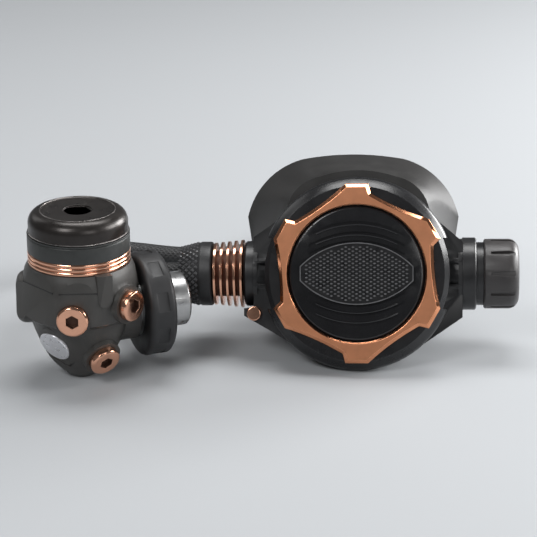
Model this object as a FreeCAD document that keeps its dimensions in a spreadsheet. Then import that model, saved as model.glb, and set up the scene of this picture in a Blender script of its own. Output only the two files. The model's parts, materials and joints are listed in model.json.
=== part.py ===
import FreeCAD, Part
import math
import os
import re
from types import SimpleNamespace

import Sketcher
from FreeCAD import Placement, Rotation, Vector

# A scuba regulator set: a first stage that screws into a cylinder valve with a handwheel, a low pressure
# hose, and a second stage that the diver breathes from. Millimetres and degrees. X runs to the viewer's
# right, Y away from the viewer and Z up. Both stages stand on the floor, z = 0, and the second stage
# leans back. Frames: the first stage has its axis on Z. The inlet frame has Z out along the handwheel's
# axis. The face frame has Z out of the second stage's front, X to its right and Y up its face. The
# barrel frame has Z along the second stage's valve, to its right.

sizes = {
    # How the two stages stand
    "first_stage_x": -79.6,
    "first_stage_y": -30.7,
    "stage_gap": 115.6,
    "face_depth": 14.5,
    "lean_angle": 21.0,
    "turn_angle": 4.5,
    "roll_angle": 1.6,
    # First stage body
    "foot_radius": 5.6,
    "foot_round": 40.0,
    "turret_radius": 18.1,
    "turret_height": 16.4,
    "waist_radius": 21.4,
    "waist_height": 27.6,
    "belly_radius": 24.2,
    "belly_low": 29.8,
    "belly_high": 42.0,
    "shoulder_radius": 22.8,
    "shoulder_height": 47.6,
    "neck_radius": 21.4,
    "body_height": 50.6,
    "facet_distance": 8.3,
    "facet_tilt": 25.0,
    "boss_radius": 8.0,
    "bulge_radius": 11.0,
    "bulge_reach": 26.3,
    "bulge_height": 34.6,
    "bulge_round": 4.0,
    "panel_width": 19.0,
    "panel_height": 20.0,
    "panel_line": 0.7,
    "panel_line_depth": 0.6,
    "tab_width": 6.2,
    "tab_height": 10.5,
    "tab_rise": 0.6,
    "tab_low": 40.6,
    # Ports and their plugs
    "plug_seat": 22.6,
    "right_plug_seat": 25.8,
    "low_plug_seat": 19.3,
    "plug_radius": 6.5,
    "plug_head": 3.3,
    "plug_edge": 0.7,
    "plug_hex": 5.0,
    "plug_hex_depth": 2.6,
    "port_radius": 4.7,
    "port_depth": 9.0,
    "shank_length": 7.5,
    "thread_gap": 0.05,
    "ring_section": 0.9,
    "high_plug_radius": 7.5,
    "high_plug_head": 3.8,
    "high_plug_hex": 6.0,
    "high_port_radius": 5.5,
    "badge_radius": 7.2,
    "badge_thickness": 1.4,
    "badge_recess": 0.9,
    "badge_height": 17.6,
    # First stage works, from the top down
    "cap_radius": 20.6,
    "cap_top_radius": 15.6,
    "cap_height": 9.3,
    "cap_side": 3.6,
    "cap_round": 5.3,
    "cap_socket": 9.6,
    "cap_socket_depth": 5.0,
    "cap_bore_depth": 5.9,
    "cap_boss_radius": 8.4,
    "cap_boss_height": 2.4,
    "collar_radius": 16.0,
    "collar_height": 5.4,
    "housing_radius": 21.2,
    "housing_height": 7.5,
    "housing_bore": 13.0,
    "clamp_height": 5.3,
    "clamp_bore": 15.0,
    "clamp_ridges": 3,
    "clamp_ridge_rise": 0.6,
    "diaphragm_radius": 18.5,
    "diaphragm_thickness": 1.6,
    "chamber_radius": 15.0,
    "chamber_depth": 1.6,
    "valve_bore": 6.5,
    "seat_height": 35.0,
    "seat_thickness": 4.0,
    "seat_hole": 1.9,
    "high_bore": 5.2,
    "high_floor": 15.0,
    "pin_radius": 1.4,
    "pin_head_radius": 7.0,
    "poppet_radius": 4.4,
    "poppet_thickness": 3.0,
    "poppet_stem": 1.9,
    "pad_radius": 12.2,
    "pad_thickness": 2.4,
    "main_wire": 2.4,
    "main_coil_radius": 9.6,
    "main_turns": 2.75,
    "screw_thickness": 3.8,
    "screw_hex": 8.0,
    "screw_gap": 0.06,
    # Inlet, handwheel and connector, measured from the first stage's axis
    "inlet_height": 27.0,
    "inlet_angle": 22.0,
    "inlet_boss_radius": 14.0,
    "inlet_face": 22.0,
    "wheel_near": 23.7,
    "wheel_far": 35.5,
    "wheel_radius": 22.0,
    "wheel_round": 2.2,
    "wheel_recess_width": 8.0,
    "wheel_recess_length": 4.6,
    "wheel_recess_depth": 0.5,
    "wheel_recesses": 9,
    "hub_radius": 13.0,
    "connector_radius": 11.45,
    "connector_end": 45.3,
    "connector_edge": 0.9,
    "connector_counterbore": 8.5,
    "stem_radius": 6.0,
    "stem_root": 12.0,
    "stem_flange_radius": 9.5,
    "stem_flange": 2.0,
    "stem_head": 4.4,
    "stem_bore": 2.6,
    "filter_bore": 4.2,
    "filter_depth": 3.6,
    "running_gap": 0.08,
    "face_ring_radius": 6.6,
    # Second stage, in the face frame
    "ring_radius": 40.8,
    "ring_round": 5.0,
    "ring_front": 5.8,
    "ring_back": 4.2,
    "ring_back_radius": 39.2,
    "ring_side": 38.9,
    "lip_thickness": 3.0,
    "cover_hole": 28.75,
    "cover_gap": 0.45,
    "case_rim_radius": 37.6,
    "case_shoulder_radius": 36.2,
    "case_shoulder_depth": 10.0,
    "case_low_radius": 30.0,
    "case_low_depth": 24.5,
    "case_back_radius": 20.0,
    "case_depth": 33.0,
    "case_wall": 2.2,
    "inlet_depth": 17.0,
    "side_radius": 15.0,
    "side_reach": 44.4,
    "side_groove": 1.3,
    "side_lip": 1.8,
    "rib_width": 1.0,
    "rib_rise": 0.1,
    "rib_spacing": 9.8,
    "bezel_corner_radius": 37.9,
    "bezel_step_radius": 34.2,
    "bezel_corner_angle": 7.3,
    "bezel_step_angle": 10.0,
    "bezel_thickness": 2.2,
    "bezel_edge": 1.4,
    "bezel_inner_edge": 0.7,
    "bezel_hollow": 110.0,
    "bezel_arms": 6,
    "cover_edge": 1.2,
    "cover_dome": 245.0,
    "cover_wall": 2.9,
    "cover_flange_radius": 30.5,
    "cover_flange": 1.3,
    "cover_skirt_radius": 26.0,
    "cover_boss_radius": 3.5,
    "label_length": 47.4,
    "label_end": 6.0,
    "label_arc": 33.1,
    "label_thickness": 2.2,
    "label_floor": 7.4,
    "crease_floor": 7.6,
    "crease_width": 0.9,
    "crease_half": 20.0,
    "crease_radius": 39.0,
    "guard_thickness": 1.2,
    "guard_radius": 36.9,
    "guard_hole": 4.2,
    "guard_holes": 6,
    "membrane_radius": 36.8,
    "membrane_thickness": 1.2,
    "membrane_web": 0.8,
    "plate_radius": 15.0,
    "plate_thickness": 1.0,
    "cover_wire": 0.8,
    "cover_coil_radius": 7.0,
    "cover_turns": 3.0,
    # Second stage valve, along the barrel frame
    "barrel_radius": 8.0,
    "barrel_bore": 6.5,
    "barrel_left": 36.0,
    "barrel_right": 50.0,
    "orifice_radius": 6.4,
    "orifice_length": 10.0,
    "orifice_hole": 2.4,
    "seat_place": 26.0,
    "valve_head_radius": 5.0,
    "valve_head_length": 4.0,
    "valve_stem_radius": 2.0,
    "valve_flange_radius": 5.5,
    "valve_flange_length": 1.0,
    "valve_tail": 3.0,
    "valve_wire": 1.0,
    "valve_coil_radius": 4.2,
    "valve_turns": 5.0,
    "valve_spring_length": 10.0,
    "tuner_length": 6.0,
    "tuner_hex": 4.0,
    "pivot_place": 12.5,
    "pivot_radius": 0.9,
    "lever_tip": 6.0,
    "lever_thickness": 0.9,
    "lever_width": 8.4,
    "lever_fork": 4.8,
    "lever_foot": 5.0,
    "slot_gap": 0.3,
    "slot_left": 4.4,
    "slot_right": 1.6,
    "inlet_tube_radius": 5.0,
    "inlet_tube_bore": 2.4,
    "inlet_tube_end": 66.0,
    "neck_outer": 14.0,
    "neck_left": 48.5,
    "neck_lip": 0.8,
    "fin_left": 62.4,
    "fin_core": 9.75,
    "fin_small": 13.4,
    "fin_large": 14.6,
    "fin_thickness": 1.0,
    "fin_pitch": 2.87,
    "fins": 5,
    "sleeve_left": 76.6,
    "sleeve_large": 13.75,
    "sleeve_small": 11.4,
    "sleeve_band": 5.4,
    "sleeve_round": 2.4,
    "ferrule_radius": 7.2,
    "ferrule_left": 74.6,
    "hex_nut": 15.0,
    "collar_outer": 15.5,
    "collar_right": 50.3,
    "groove_radius": 13.5,
    "knob_left": 53.5,
    "knob_right": 68.4,
    "knob_radius": 14.9,
    "knob_round": 4.5,
    "knob_wall": 2.0,
    "knob_slots": 10,
    "knob_slot_width": 1.4,
    "knob_slot_depth": 0.9,
    "knob_slot_length": 7.5,
    # Second stage outside
    "button_radius": 3.1,
    "button_rise": 1.6,
    "button_x": -44.0,
    "button_y": -17.0,
    "shoulder_front": 5.0,
    "shoulder_back": 16.0,
    "exhaust_depth": 20.5,
    "exhaust_radius": 12.0,
    "exhaust_top": 37.0,
    "exhaust_hole": 3.1,
    "exhaust_hole_circle": 5.9,
    "exhaust_holes": 4,
    "exhaust_valve_radius": 10.4,
    "exhaust_valve_thickness": 1.0,
    "deflector_front": 7.5,
    "deflector_waist": 16.0,
    "deflector_back": 38.0,
    "deflector_wall": 2.0,
    "outlet_width": 17.0,
    "outlet_height": 20.0,
    "outlet_place": 28.0,
    "outlet_low": 18.0,
    "outlet_lean": 3.0,
    "mouth_width": 31.0,
    "mouth_height": 19.0,
    "mouth_end": 44.0,
    "mouth_y": -3.0,
    "piece_wall": 2.4,
    "piece_front": 34.0,
    "flange_depth": 58.0,
    "flange_thickness": 3.0,
    "flange_width": 58.0,
    "flange_top": 14.0,
    "tab_depth": 76.0,
    "bite_place": 20.0,
    "bite_width": 13.0,
    "bite_height": 9.0,
    "strap_place": 38.0,
    "strap_width": 3.6,
    "strap_thickness": 1.2,
    # Hose
    "hose_radius": 4.75,
    "hose_port_height": 13.0,
    "hose_port_seat": 19.5,
    "fitting_hex_length": 7.0,
    "fitting_ferrule_radius": 7.0,
    "fitting_end": 44.0,
}

# The sheet of sizes, and how expressions reach it

document = FreeCAD.newDocument("scuba_regulator_set")
sheet = document.addObject("Spreadsheet::Sheet", "sizes")
for row, (name, number) in enumerate(sizes.items(), start=1):
    sheet.set(f"A{row}", name)
    sheet.set(f"B{row}", str(number))
    sheet.setAlias(f"B{row}", name)
document.recompute()
size = SimpleNamespace(**{name: float(sheet.get(name)) for name in sizes})


def bound(text):
    """An expression of sizes, with each name pointing at the sheet."""
    return re.sub(r"[a-z][a-z_]*", lambda word: f"sizes.{word[0]}" if word[0] in sizes else word[0], text)


def figure(text):
    """What an expression of sizes comes to."""
    return float(sheet.evalExpression(text))


# Frames of the two stages

FRONT = Vector(0, -1, 0)
UP = Vector(0, 0, 1)
RIGHT = Vector(1, 0, 0)


def shifted(frame, x=0.0, y=0.0, z=0.0, turn=None):
    """A frame moved, and then turned, in its own axes."""
    return frame * Placement(Vector(x, y, z), turn or Rotation())


def aimed(angle, tilt, height, distance=0.0):
    """A place on the first stage, with Z out of its axis at an angle from the front and tilted up."""
    turn = Rotation(UP, angle) * Rotation(RIGHT, 90 - tilt)
    return shifted(Placement(Vector(0, 0, height), turn), z=distance)


def arc_between(start, stop, radius):
    """An arc of under half a circle, to the left for a plus radius, and whether it runs backwards."""
    chord = stop - start
    rise = math.sqrt(radius**2 - (chord.Length / 2) ** 2)
    side = Vector(-chord.y, chord.x, 0).normalize() * math.copysign(rise, radius)
    centre = (start + stop) * 0.5 + side
    first, last = (start, stop) if radius > 0 else (stop, start)
    from_angle = math.atan2(first.y - centre.y, first.x - centre.x)
    to_angle = math.atan2(last.y - centre.y, last.x - centre.x)
    circle = Part.Circle(centre, Vector(0, 0, 1), abs(radius))
    return Part.ArcOfCircle(circle, from_angle, to_angle), radius < 0


def ring_height():
    """How high the ring's middle is when the round of its back edge stands on the floor."""
    back_edge = Vector(size.ring_back_radius, -size.ring_back, 0)
    edge, _ = arc_between(back_edge, Vector(size.ring_radius, 0, 0), size.ring_round)
    lean = math.radians(size.lean_angle)
    return edge.Center.x * math.cos(lean) - edge.Center.y * math.sin(lean) + size.ring_round


def floor_below(depth, reach):
    """How far down the face the floor is met, at a depth behind the ring's middle and a reach to its left."""
    lean, roll = math.radians(size.lean_angle), math.radians(size.roll_angle)
    drop = depth * math.sin(lean) + reach * math.cos(lean) * math.sin(roll)
    return (ring_height() - drop) / (math.cos(lean) * math.cos(roll))


inlet_way = aimed(90 + size.inlet_angle, 0, size.inlet_height)
face_turn = (
    Rotation(UP, -size.turn_angle) * Rotation(RIGHT, 90 - size.lean_angle) * Rotation(UP, size.roll_angle)
)

first_stage = Placement(Vector(size.first_stage_x, size.first_stage_y, 0), Rotation())
inlet = first_stage * inlet_way
face = first_stage * Placement(Vector(size.stage_gap, size.face_depth, ring_height()), face_turn)
barrel = shifted(face, z=-size.inlet_depth, turn=Rotation(Vector(0, 1, 0), 90))


# Making bodies, sketches and features

pieces = {}


def piece(shape_object, label, frame):
    """Names a finished sub-part and puts it in its place."""
    shape_object.Label = label
    shape_object.Placement = frame
    pieces[label] = shape_object
    return shape_object


def new_body(label):
    body = document.addObject("PartDesign::Body", label + "_body")
    body.Label = label + "_body"
    return body


def new_sketch(body, plane="XY_Plane", lift="0"):
    """A sketch on one of the body's own planes, lifted along the plane's normal."""
    sketch = body.newObject("Sketcher::SketchObject", body.Name + "_sketch")
    origin_plane = next(part for part in body.Origin.OriginFeatures if part.Role == plane)
    sketch.AttachmentSupport = [(origin_plane, "")]
    sketch.MapMode = "FlatFace"
    sketch.setExpression("AttachmentOffset.Base.z", bound(lift))
    return sketch


def bind(sketch, kind, *where):
    """Adds a constraint whose value comes from an expression of sizes."""
    *places, text = where
    index = sketch.addConstraint(Sketcher.Constraint(kind, *places, figure(text)))
    sketch.setExpression(f"Constraints[{index}]", bound(text))


def draw(sketch, points, bends=None):
    """Draws a closed outline, anticlockwise. bends holds the radius of each side that is an arc, by the
    number of the point that it starts from: plus where it bulges out, minus where it is hollow."""
    bends = bends or {}
    corners = [Vector(figure(x), figure(y), 0) for x, y in points]
    sides = []
    for number, start in enumerate(corners):
        stop = corners[(number + 1) % len(corners)]
        if number in bends:
            line, backwards = arc_between(start, stop, figure(bends[number]))
        else:
            line, backwards = Part.LineSegment(start, stop), False
        index = sketch.addGeometry(line)
        sides.append((index, 2, 1) if backwards else (index, 1, 2))
        if number in bends:
            bind(sketch, "Radius", index, bends[number].lstrip("-"))
    for number, (index, begin, _) in enumerate(sides):
        before, _, end = sides[number - 1]
        sketch.addConstraint(Sketcher.Constraint("Coincident", before, end, index, begin))
        bind(sketch, "DistanceX", -1, 1, index, begin, points[number][0])
        bind(sketch, "DistanceY", -1, 1, index, begin, points[number][1])
    return sketch


def draw_circle(sketch, radius, x="0", y="0"):
    centre = Vector(figure(x), figure(y), 0)
    index = sketch.addGeometry(Part.Circle(centre, Vector(0, 0, 1), figure(radius)))
    bind(sketch, "Radius", index, radius)
    bind(sketch, "DistanceX", -1, 1, index, 3, x)
    bind(sketch, "DistanceY", -1, 1, index, 3, y)
    return sketch


def rounded_box(width, height, radius, x="0", y="0"):
    """The points and bends of a rectangle with rounded corners, about a centre."""
    points = []
    for across, up in ((1, -1), (1, 1), (-1, 1), (-1, -1)):
        side_x = f"{x} + {across} * ({width}) / 2"
        side_y = f"{y} + {up} * ({height}) / 2"
        near_x = f"{side_x} - {across} * ({radius})"
        near_y = f"{side_y} - {up} * ({radius})"
        first, second = (near_x, side_y), (side_x, near_y)
        points += [first, second] if across * up < 0 else [second, first]
    return points, {0: radius, 2: radius, 4: radius, 6: radius}


def polygon(sides, across_flats, start="0"):
    """The points of a regular polygon, by its width across flats."""
    reach = f"({across_flats}) / 2 / cos(180 / {sides})"
    angles = [f"{start} + {number} * 360 / {sides}" for number in range(sides)]
    return [(f"{reach} * cos({angle})", f"{reach} * sin({angle})") for angle in angles]


def add(body, kind, sketch, **values):
    """Adds a feature made from a sketch, with its sizes bound to the sheet."""
    feature = body.newObject("PartDesign::" + kind, body.Name + "_" + kind.lower())
    feature.Profile = sketch
    for name, value in values.items():
        if isinstance(value, str):
            feature.setExpression(name, bound(value))
        else:
            setattr(feature, name, value)
    return feature


def turned(body, points, bends=None):
    """Turns an outline of radius and height about the body's own Z axis."""
    sketch = draw(new_sketch(body, "XZ_Plane"), points, bends)
    return add(body, "Revolution", sketch, ReferenceAxis=(sketch, ["V_Axis"]), Angle="360")


def turned_away(body, points, bends=None):
    """Cuts a turned outline away."""
    sketch = draw(new_sketch(body, "XZ_Plane"), points, bends)
    return add(body, "Groove", sketch, ReferenceAxis=(sketch, ["V_Axis"]), Angle="360")


def repeated(body, features, count):
    """Repeats features evenly about the body's own Z axis."""
    pattern = body.newObject("PartDesign::PolarPattern", body.Name + "_pattern")
    pattern.Originals = features
    pattern.Axis = (features[0].Profile[0], ["N_Axis"])
    pattern.Angle = 360
    pattern.setExpression("Occurrences", bound(count))
    body.Tip = pattern
    return pattern


def top_face(feature):
    """The name of the highest flat face that looks along Z."""
    document.recompute()
    faces = enumerate(feature.Shape.Faces, start=1)
    flat = [(one.CenterOfMass.z, f"Face{number}") for number, one in faces if one.normalAt(0, 0).z > 0.99]
    return max(flat)[1]


def solid_of(kind, name, frame=None, **values):
    """A primitive with its sizes bound to the sheet."""
    primitive = document.addObject("Part::" + kind, name)
    for property_name, text in values.items():
        primitive.setExpression(property_name, bound(text))
    if frame:
        primitive.Placement = frame
    return primitive


def joined(name, shapes):
    whole = document.addObject("Part::MultiFuse", name)
    whole.Shapes = shapes
    return whole


def cut_away(name, base, tools):
    """Takes tools away from a base, and leaves the outcome."""
    cut = document.addObject("Part::Cut", name)
    cut.Base = base
    cut.Tool = tools[0] if len(tools) == 1 else joined(name + "_tools", tools)
    return cut


def coil(label, frame, mean_radius, wire, turns, length):
    """A spring with its ends inside the length that it fills."""
    body = new_body(label)
    sketch = draw_circle(new_sketch(body, "XZ_Plane"), f"{wire} / 2", mean_radius, f"{wire} / 2")
    winding = add(body, "AdditiveHelix", sketch, Mode=2, Turns=turns, Height=f"{length} - {wire}")
    winding.ReferenceAxis = (sketch, ["V_Axis"])
    return piece(body, label, frame)


# First stage body

PORTS = {
    "front": (-3, 0, 32.9, "plug_seat"),
    "right": (55, 0, 36.3, "right_plug_seat"),
    "low": (34, -size.facet_tilt, 20.6, "low_plug_seat"),
    "rear": (-125, 0, 33.0, "plug_seat"),
}
HIGH_PORT = (162, 0, 38.0, "plug_seat")
HOSE_PORT = (180, 0, size.hose_port_height, "hose_port_seat")
BADGE_ANGLE = -35
TAB_ANGLE = 30
FACET_ANGLES = (BADGE_ANGLE, 34, 82, 130, 180, -130, -82)


def port_frame(port):
    angle, tilt, height, seat = port
    return aimed(angle, tilt, height, getattr(size, seat))


def badge_frame():
    """The middle of the badge, on its facet."""
    frame = aimed(BADGE_ANGLE, -size.facet_tilt, 0, size.facet_distance)
    tilt = math.radians(size.facet_tilt)
    up_the_facet = (size.badge_height + size.facet_distance * math.sin(tilt)) / math.cos(tilt)
    return shifted(frame, y=up_the_facet)


def panel_tool():
    """A thin five-sided line, cut round the badge."""
    body = new_body("panel_line")
    corners = [
        ("panel_width / 2", "panel_height / 3"),
        ("0", "panel_height * 0.55"),
        ("-panel_width / 2", "panel_height / 3"),
        ("-panel_width / 2", "-panel_height * 0.3"),
        ("panel_width * 0.2", "-panel_height * 0.55"),
        ("panel_width / 2", "-panel_height * 0.3"),
    ]
    sketch = draw(new_sketch(body, lift="-panel_line_depth"), corners)
    add(body, "Pad", sketch, Length="5")
    inner = draw(new_sketch(body, lift="-panel_line_depth"), [
        (f"({x}) * (1 - 2 * panel_line / panel_width)", f"({y}) * (1 - 2 * panel_line / panel_height)")
        for x, y in corners
    ])
    add(body, "Pocket", inner, Length="5", Reversed=True)
    return body


def tab_tool():
    """The small raised tongue that hangs from the neck at the front."""
    body = new_body("tongue")
    points = [
        ("tab_width / 2", "0"),
        ("tab_width / 2", "tab_height"),
        ("-tab_width / 2", "tab_height"),
        ("-tab_width / 2", "0"),
        ("0", "-tab_width / 2"),
    ]
    sketch = draw(new_sketch(body), points, {3: "tab_width / 2", 4: "tab_width / 2"})
    add(body, "Pad", sketch, Length="6")
    return body


def first_stage_core():
    """The turned core, with flat facets round its tapered foot."""
    core = new_body("first_stage_core")
    turned(core, [
        ("0", "0"),
        ("foot_radius", "0"),
        ("turret_radius", "turret_height"),
        ("waist_radius", "waist_height"),
        ("belly_radius", "belly_low"),
        ("belly_radius", "belly_high"),
        ("shoulder_radius", "shoulder_height"),
        ("neck_radius", "body_height"),
        ("0", "body_height"),
    ], {1: "foot_round"})
    facets = []
    for angle in FACET_ANGLES:
        frame = shifted(aimed(angle, -size.facet_tilt, 0, size.facet_distance), -30)
        facets.append(solid_of("Box", "facet", frame, Length="60", Width="31", Height="20"))
    return cut_away("faceted_core", core, facets)


def bulge():
    """The smooth swelling on the first stage's left."""
    body = new_body("bulge")
    turned(body, [
        ("0", "0"),
        ("bulge_radius", "0"),
        ("bulge_radius", "bulge_reach - bulge_round"),
        ("bulge_radius - bulge_round", "bulge_reach"),
        ("0", "bulge_reach"),
    ], {2: "bulge_round"})
    body.Placement = aimed(-88, 0, size.bulge_height)
    return body


def first_stage_bores():
    """The space inside: the high pressure chamber, the valve bore and the diaphragm's seat."""
    body = new_body("first_stage_bores")
    floor = "body_height - diaphragm_thickness"
    turned(body, [
        ("0", "high_floor"),
        ("high_bore", "high_floor"),
        ("high_bore", "seat_height"),
        ("valve_bore", "seat_height"),
        ("valve_bore", f"{floor} - chamber_depth"),
        ("chamber_radius", f"{floor} - chamber_depth"),
        ("chamber_radius", floor),
        ("diaphragm_radius + thread_gap", floor),
        ("diaphragm_radius + thread_gap", "body_height + 1"),
        ("0", "body_height + 1"),
    ])
    return body


def first_stage_body():
    shell = [first_stage_core(), bulge(), tab_tool()]
    shell[-1].Placement = aimed(TAB_ANGLE, 0, size.tab_low, size.belly_radius + size.tab_rise - 6)
    shell.append(solid_of(
        "Cylinder", "inlet_boss", inlet_way, Radius="inlet_boss_radius", Height="inlet_face + 5",
    ))
    every_port = {**PORTS, "high": HIGH_PORT, "hose": HOSE_PORT}
    for name, (angle, tilt, height, seat) in every_port.items():
        shell.append(solid_of(
            "Cylinder", f"{name}_boss", aimed(angle, tilt, height), Radius="boss_radius", Height=seat,
        ))

    tools = [first_stage_bores()]
    inlet_flat = shifted(inlet_way, -30, -30, size.inlet_face)
    tools.append(solid_of("Box", "inlet_flat", inlet_flat, Length="60", Width="60", Height="20"))
    tools.append(solid_of(
        "Cylinder", "stem_hole", shifted(inlet_way, z=size.stem_root),
        Radius="stem_radius + thread_gap", Height="inlet_face",
    ))
    tools.append(solid_of("Cylinder", "high_way", inlet_way, Radius="stem_bore", Height="stem_root + 1"))
    seats = {"high": "high_plug_radius", "hose": "hex_nut / 2 / cos(30)"}
    for name, port in every_port.items():
        radius = "high_port_radius" if name == "high" else "port_radius"
        tools.append(solid_of(
            "Cylinder", f"{name}_hole", shifted(port_frame(port), z=-size.port_depth),
            Radius=f"{radius} + thread_gap", Height="port_depth + 1",
        ))
        tools.append(solid_of(
            "Cylinder", f"{name}_gland", shifted(port_frame(port), z=-size.ring_section * 2),
            Radius=f"{radius} + 2 * ring_section", Height="ring_section * 2 + 1",
        ))
        tools.append(solid_of(
            "Cylinder", f"{name}_seat", port_frame(port),
            Radius=seats.get(name, "plug_radius") + " + thread_gap", Height="belly_radius",
        ))
    badge = shifted(badge_frame(), z=-size.badge_recess)
    tools.append(solid_of("Cylinder", "badge_hole", badge, Radius="badge_radius", Height="5"))
    tools.append(panel_tool())
    tools[-1].Placement = badge_frame()
    body = cut_away("first_stage", joined("first_stage_solid", shell), tools)
    piece(body, "first_stage_body", first_stage)


def plug(label, place, radius, head, hex_width, shank):
    """A port plug, turned, with a hexagon socket in its head."""
    body = new_body(label)
    turned(body, [
        ("0", "-shank_length"),
        (f"{shank} - plug_edge", "-shank_length"),
        (shank, "-shank_length + plug_edge"),
        (shank, "0"),
        (radius, "0"),
        (radius, f"{head} - plug_edge"),
        (f"{radius} - plug_edge", head),
        ("0", head),
    ])
    socket = draw(new_sketch(body, lift=head), polygon(6, hex_width, "90"))
    add(body, "Pocket", socket, Length="plug_hex_depth")
    body.Placement = place
    return body


def plugs_and_badge():
    low = [
        plug(f"{name}_plug", port_frame(port), "plug_radius", "plug_head", "plug_hex", "port_radius")
        for name, port in PORTS.items()
    ]
    piece(joined("low_plugs", low), "low_pressure_plugs", first_stage)
    high = plug(
        "high_plug", port_frame(HIGH_PORT), "high_plug_radius", "high_plug_head",
        "high_plug_hex", "high_port_radius",
    )
    piece(high, "high_pressure_plug", first_stage * port_frame(HIGH_PORT))

    rings = []
    for name, port in {**PORTS, "hose": HOSE_PORT, "high": HIGH_PORT}.items():
        radius = "high_port_radius" if name == "high" else "port_radius"
        rings.append(solid_of(
            "Torus", f"{name}_seal", shifted(port_frame(port), z=-size.ring_section),
            Radius1=f"{radius} + ring_section", Radius2="ring_section",
        ))
    piece(joined("seals", rings), "port_seals", first_stage)

    badge = new_body("badge")
    turned(badge, [
        ("0", "-badge_recess"),
        ("badge_radius", "-badge_recess"),
        ("badge_radius", "badge_thickness - badge_recess - 0.3"),
        ("badge_radius - 0.3", "badge_thickness - badge_recess"),
        ("0", "badge_thickness - badge_recess"),
    ])
    piece(badge, "badge_disc", first_stage * badge_frame())


# First stage works

def works_piece(label, points, bends=None, lift="0"):
    """A turned piece on the first stage's axis, with heights measured from lift."""
    body = new_body(label)
    turned(body, points, bends)
    return piece(body, label, shifted(first_stage, z=figure(lift)))


def clamp_ring():
    """The ring that clamps the diaphragm, with rounded ridges round it."""
    pitch = "clamp_height / clamp_ridges"
    root = "neck_radius - clamp_ridge_rise"
    points = [("clamp_bore", "0")]
    bends = {}
    for ridge in range(int(size.clamp_ridges)):
        bends[len(points)] = "clamp_height / clamp_ridges * 0.6"
        points.append((root, f"{ridge} * {pitch}"))
    points.append((root, "clamp_height"))
    points.append(("clamp_bore", "clamp_height"))
    works_piece("diaphragm_clamp_ring", points, bends, "body_height")


def spring_housing():
    """The dark band, with a threaded collar above it that the cap screws on."""
    works_piece("spring_housing", [
        ("housing_bore", "0"),
        ("housing_radius", "0"),
        ("housing_radius", "housing_height - 1.1"),
        ("housing_radius - 0.5", "housing_height - 0.8"),
        ("housing_radius", "housing_height - 0.5"),
        ("housing_radius", "housing_height"),
        ("collar_radius", "housing_height"),
        ("collar_radius", "housing_height + collar_height"),
        ("housing_bore", "housing_height + collar_height"),
    ], lift="body_height + clamp_height")


def end_cap():
    """The cap: an upright side, a round shoulder and a flat top with a socket."""
    body = new_body("end_cap")
    turned(body, [
        ("0", "cap_bore_depth - cap_boss_height"),
        ("cap_boss_radius", "cap_bore_depth - cap_boss_height"),
        ("cap_boss_radius", "cap_bore_depth"),
        ("collar_radius + thread_gap", "cap_bore_depth"),
        ("collar_radius + thread_gap", "0"),
        ("cap_radius - 0.4", "0"),
        ("cap_radius", "0.4"),
        ("cap_radius", "cap_side"),
        ("cap_top_radius + 0.4", "cap_height"),
        ("cap_top_radius", "cap_height"),
        ("cap_top_radius - 0.5", "cap_height - 0.4"),
        ("0", "cap_height - 0.4"),
    ], {7: "cap_round"})
    socket = draw(new_sketch(body, lift="cap_height"), polygon(6, "cap_socket"))
    add(body, "Pocket", socket, Length="cap_socket_depth")
    rim = draw_circle(new_sketch(body, lift="cap_height"), "cap_socket / 2 + 1.3")
    add(body, "Pocket", rim, Length="1.0")
    piece(body, "end_cap", shifted(first_stage, z=figure("body_height + clamp_height + housing_height")))


def first_stage_works():
    clamp_ring()
    spring_housing()
    end_cap()
    works_piece("first_stage_diaphragm", [
        ("0", "0"),
        ("diaphragm_radius", "0"),
        ("diaphragm_radius", "diaphragm_thickness"),
        ("0", "diaphragm_thickness"),
    ], lift="body_height - diaphragm_thickness")
    works_piece("spring_pad", [
        ("0", "0"),
        ("pad_radius", "0"),
        ("pad_radius", "pad_thickness / 2"),
        ("pad_radius - 1", "pad_thickness"),
        ("0", "pad_thickness"),
    ], lift="body_height")
    spring_room = "clamp_height + housing_height + cap_bore_depth - cap_boss_height - screw_thickness - 1"
    coil(
        "main_spring", shifted(first_stage, z=figure("body_height + pad_thickness")),
        "main_coil_radius", "main_wire", "main_turns", f"{spring_room} - pad_thickness",
    )
    screw = new_body("adjusting_screw")
    turned(screw, [
        ("0", "0"),
        ("housing_bore - screw_gap", "0"),
        ("housing_bore - screw_gap", "screw_thickness"),
        ("0", "screw_thickness"),
    ])
    socket = draw(new_sketch(screw, lift="screw_thickness"), polygon(6, "screw_hex"))
    add(screw, "Pocket", socket, Length="screw_thickness")
    piece(screw, "adjusting_screw", shifted(first_stage, z=figure(f"body_height + {spring_room}")))

    works_piece("high_pressure_seat", [
        ("seat_hole", "0.6"),
        ("seat_hole + 0.6", "0"),
        ("high_bore - 0.4", "0.6"),
        ("high_bore - 0.4", "1"),
        ("valve_bore - thread_gap", "1"),
        ("valve_bore - thread_gap", "seat_thickness + 1"),
        ("seat_hole", "seat_thickness + 1"),
    ], lift="seat_height - 1")
    works_piece("high_pressure_poppet", [
        ("0", "high_floor + 2 - seat_height"),
        ("poppet_stem", "high_floor + 2 - seat_height"),
        ("poppet_stem", "-poppet_thickness - 1"),
        ("poppet_radius", "-poppet_thickness - 1"),
        ("poppet_radius", "-1.05"),
        ("0", "-1.05"),
    ], lift="seat_height")
    floor = "body_height - diaphragm_thickness"
    works_piece("push_pin", [
        ("0", "seat_height - 1.05"),
        ("pin_radius", "seat_height - 1.05"),
        ("pin_radius", f"{floor} - 1"),
        ("pin_head_radius", f"{floor} - 1"),
        ("pin_head_radius", floor),
        ("0", floor),
    ])


# Inlet, handwheel and connector

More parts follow.
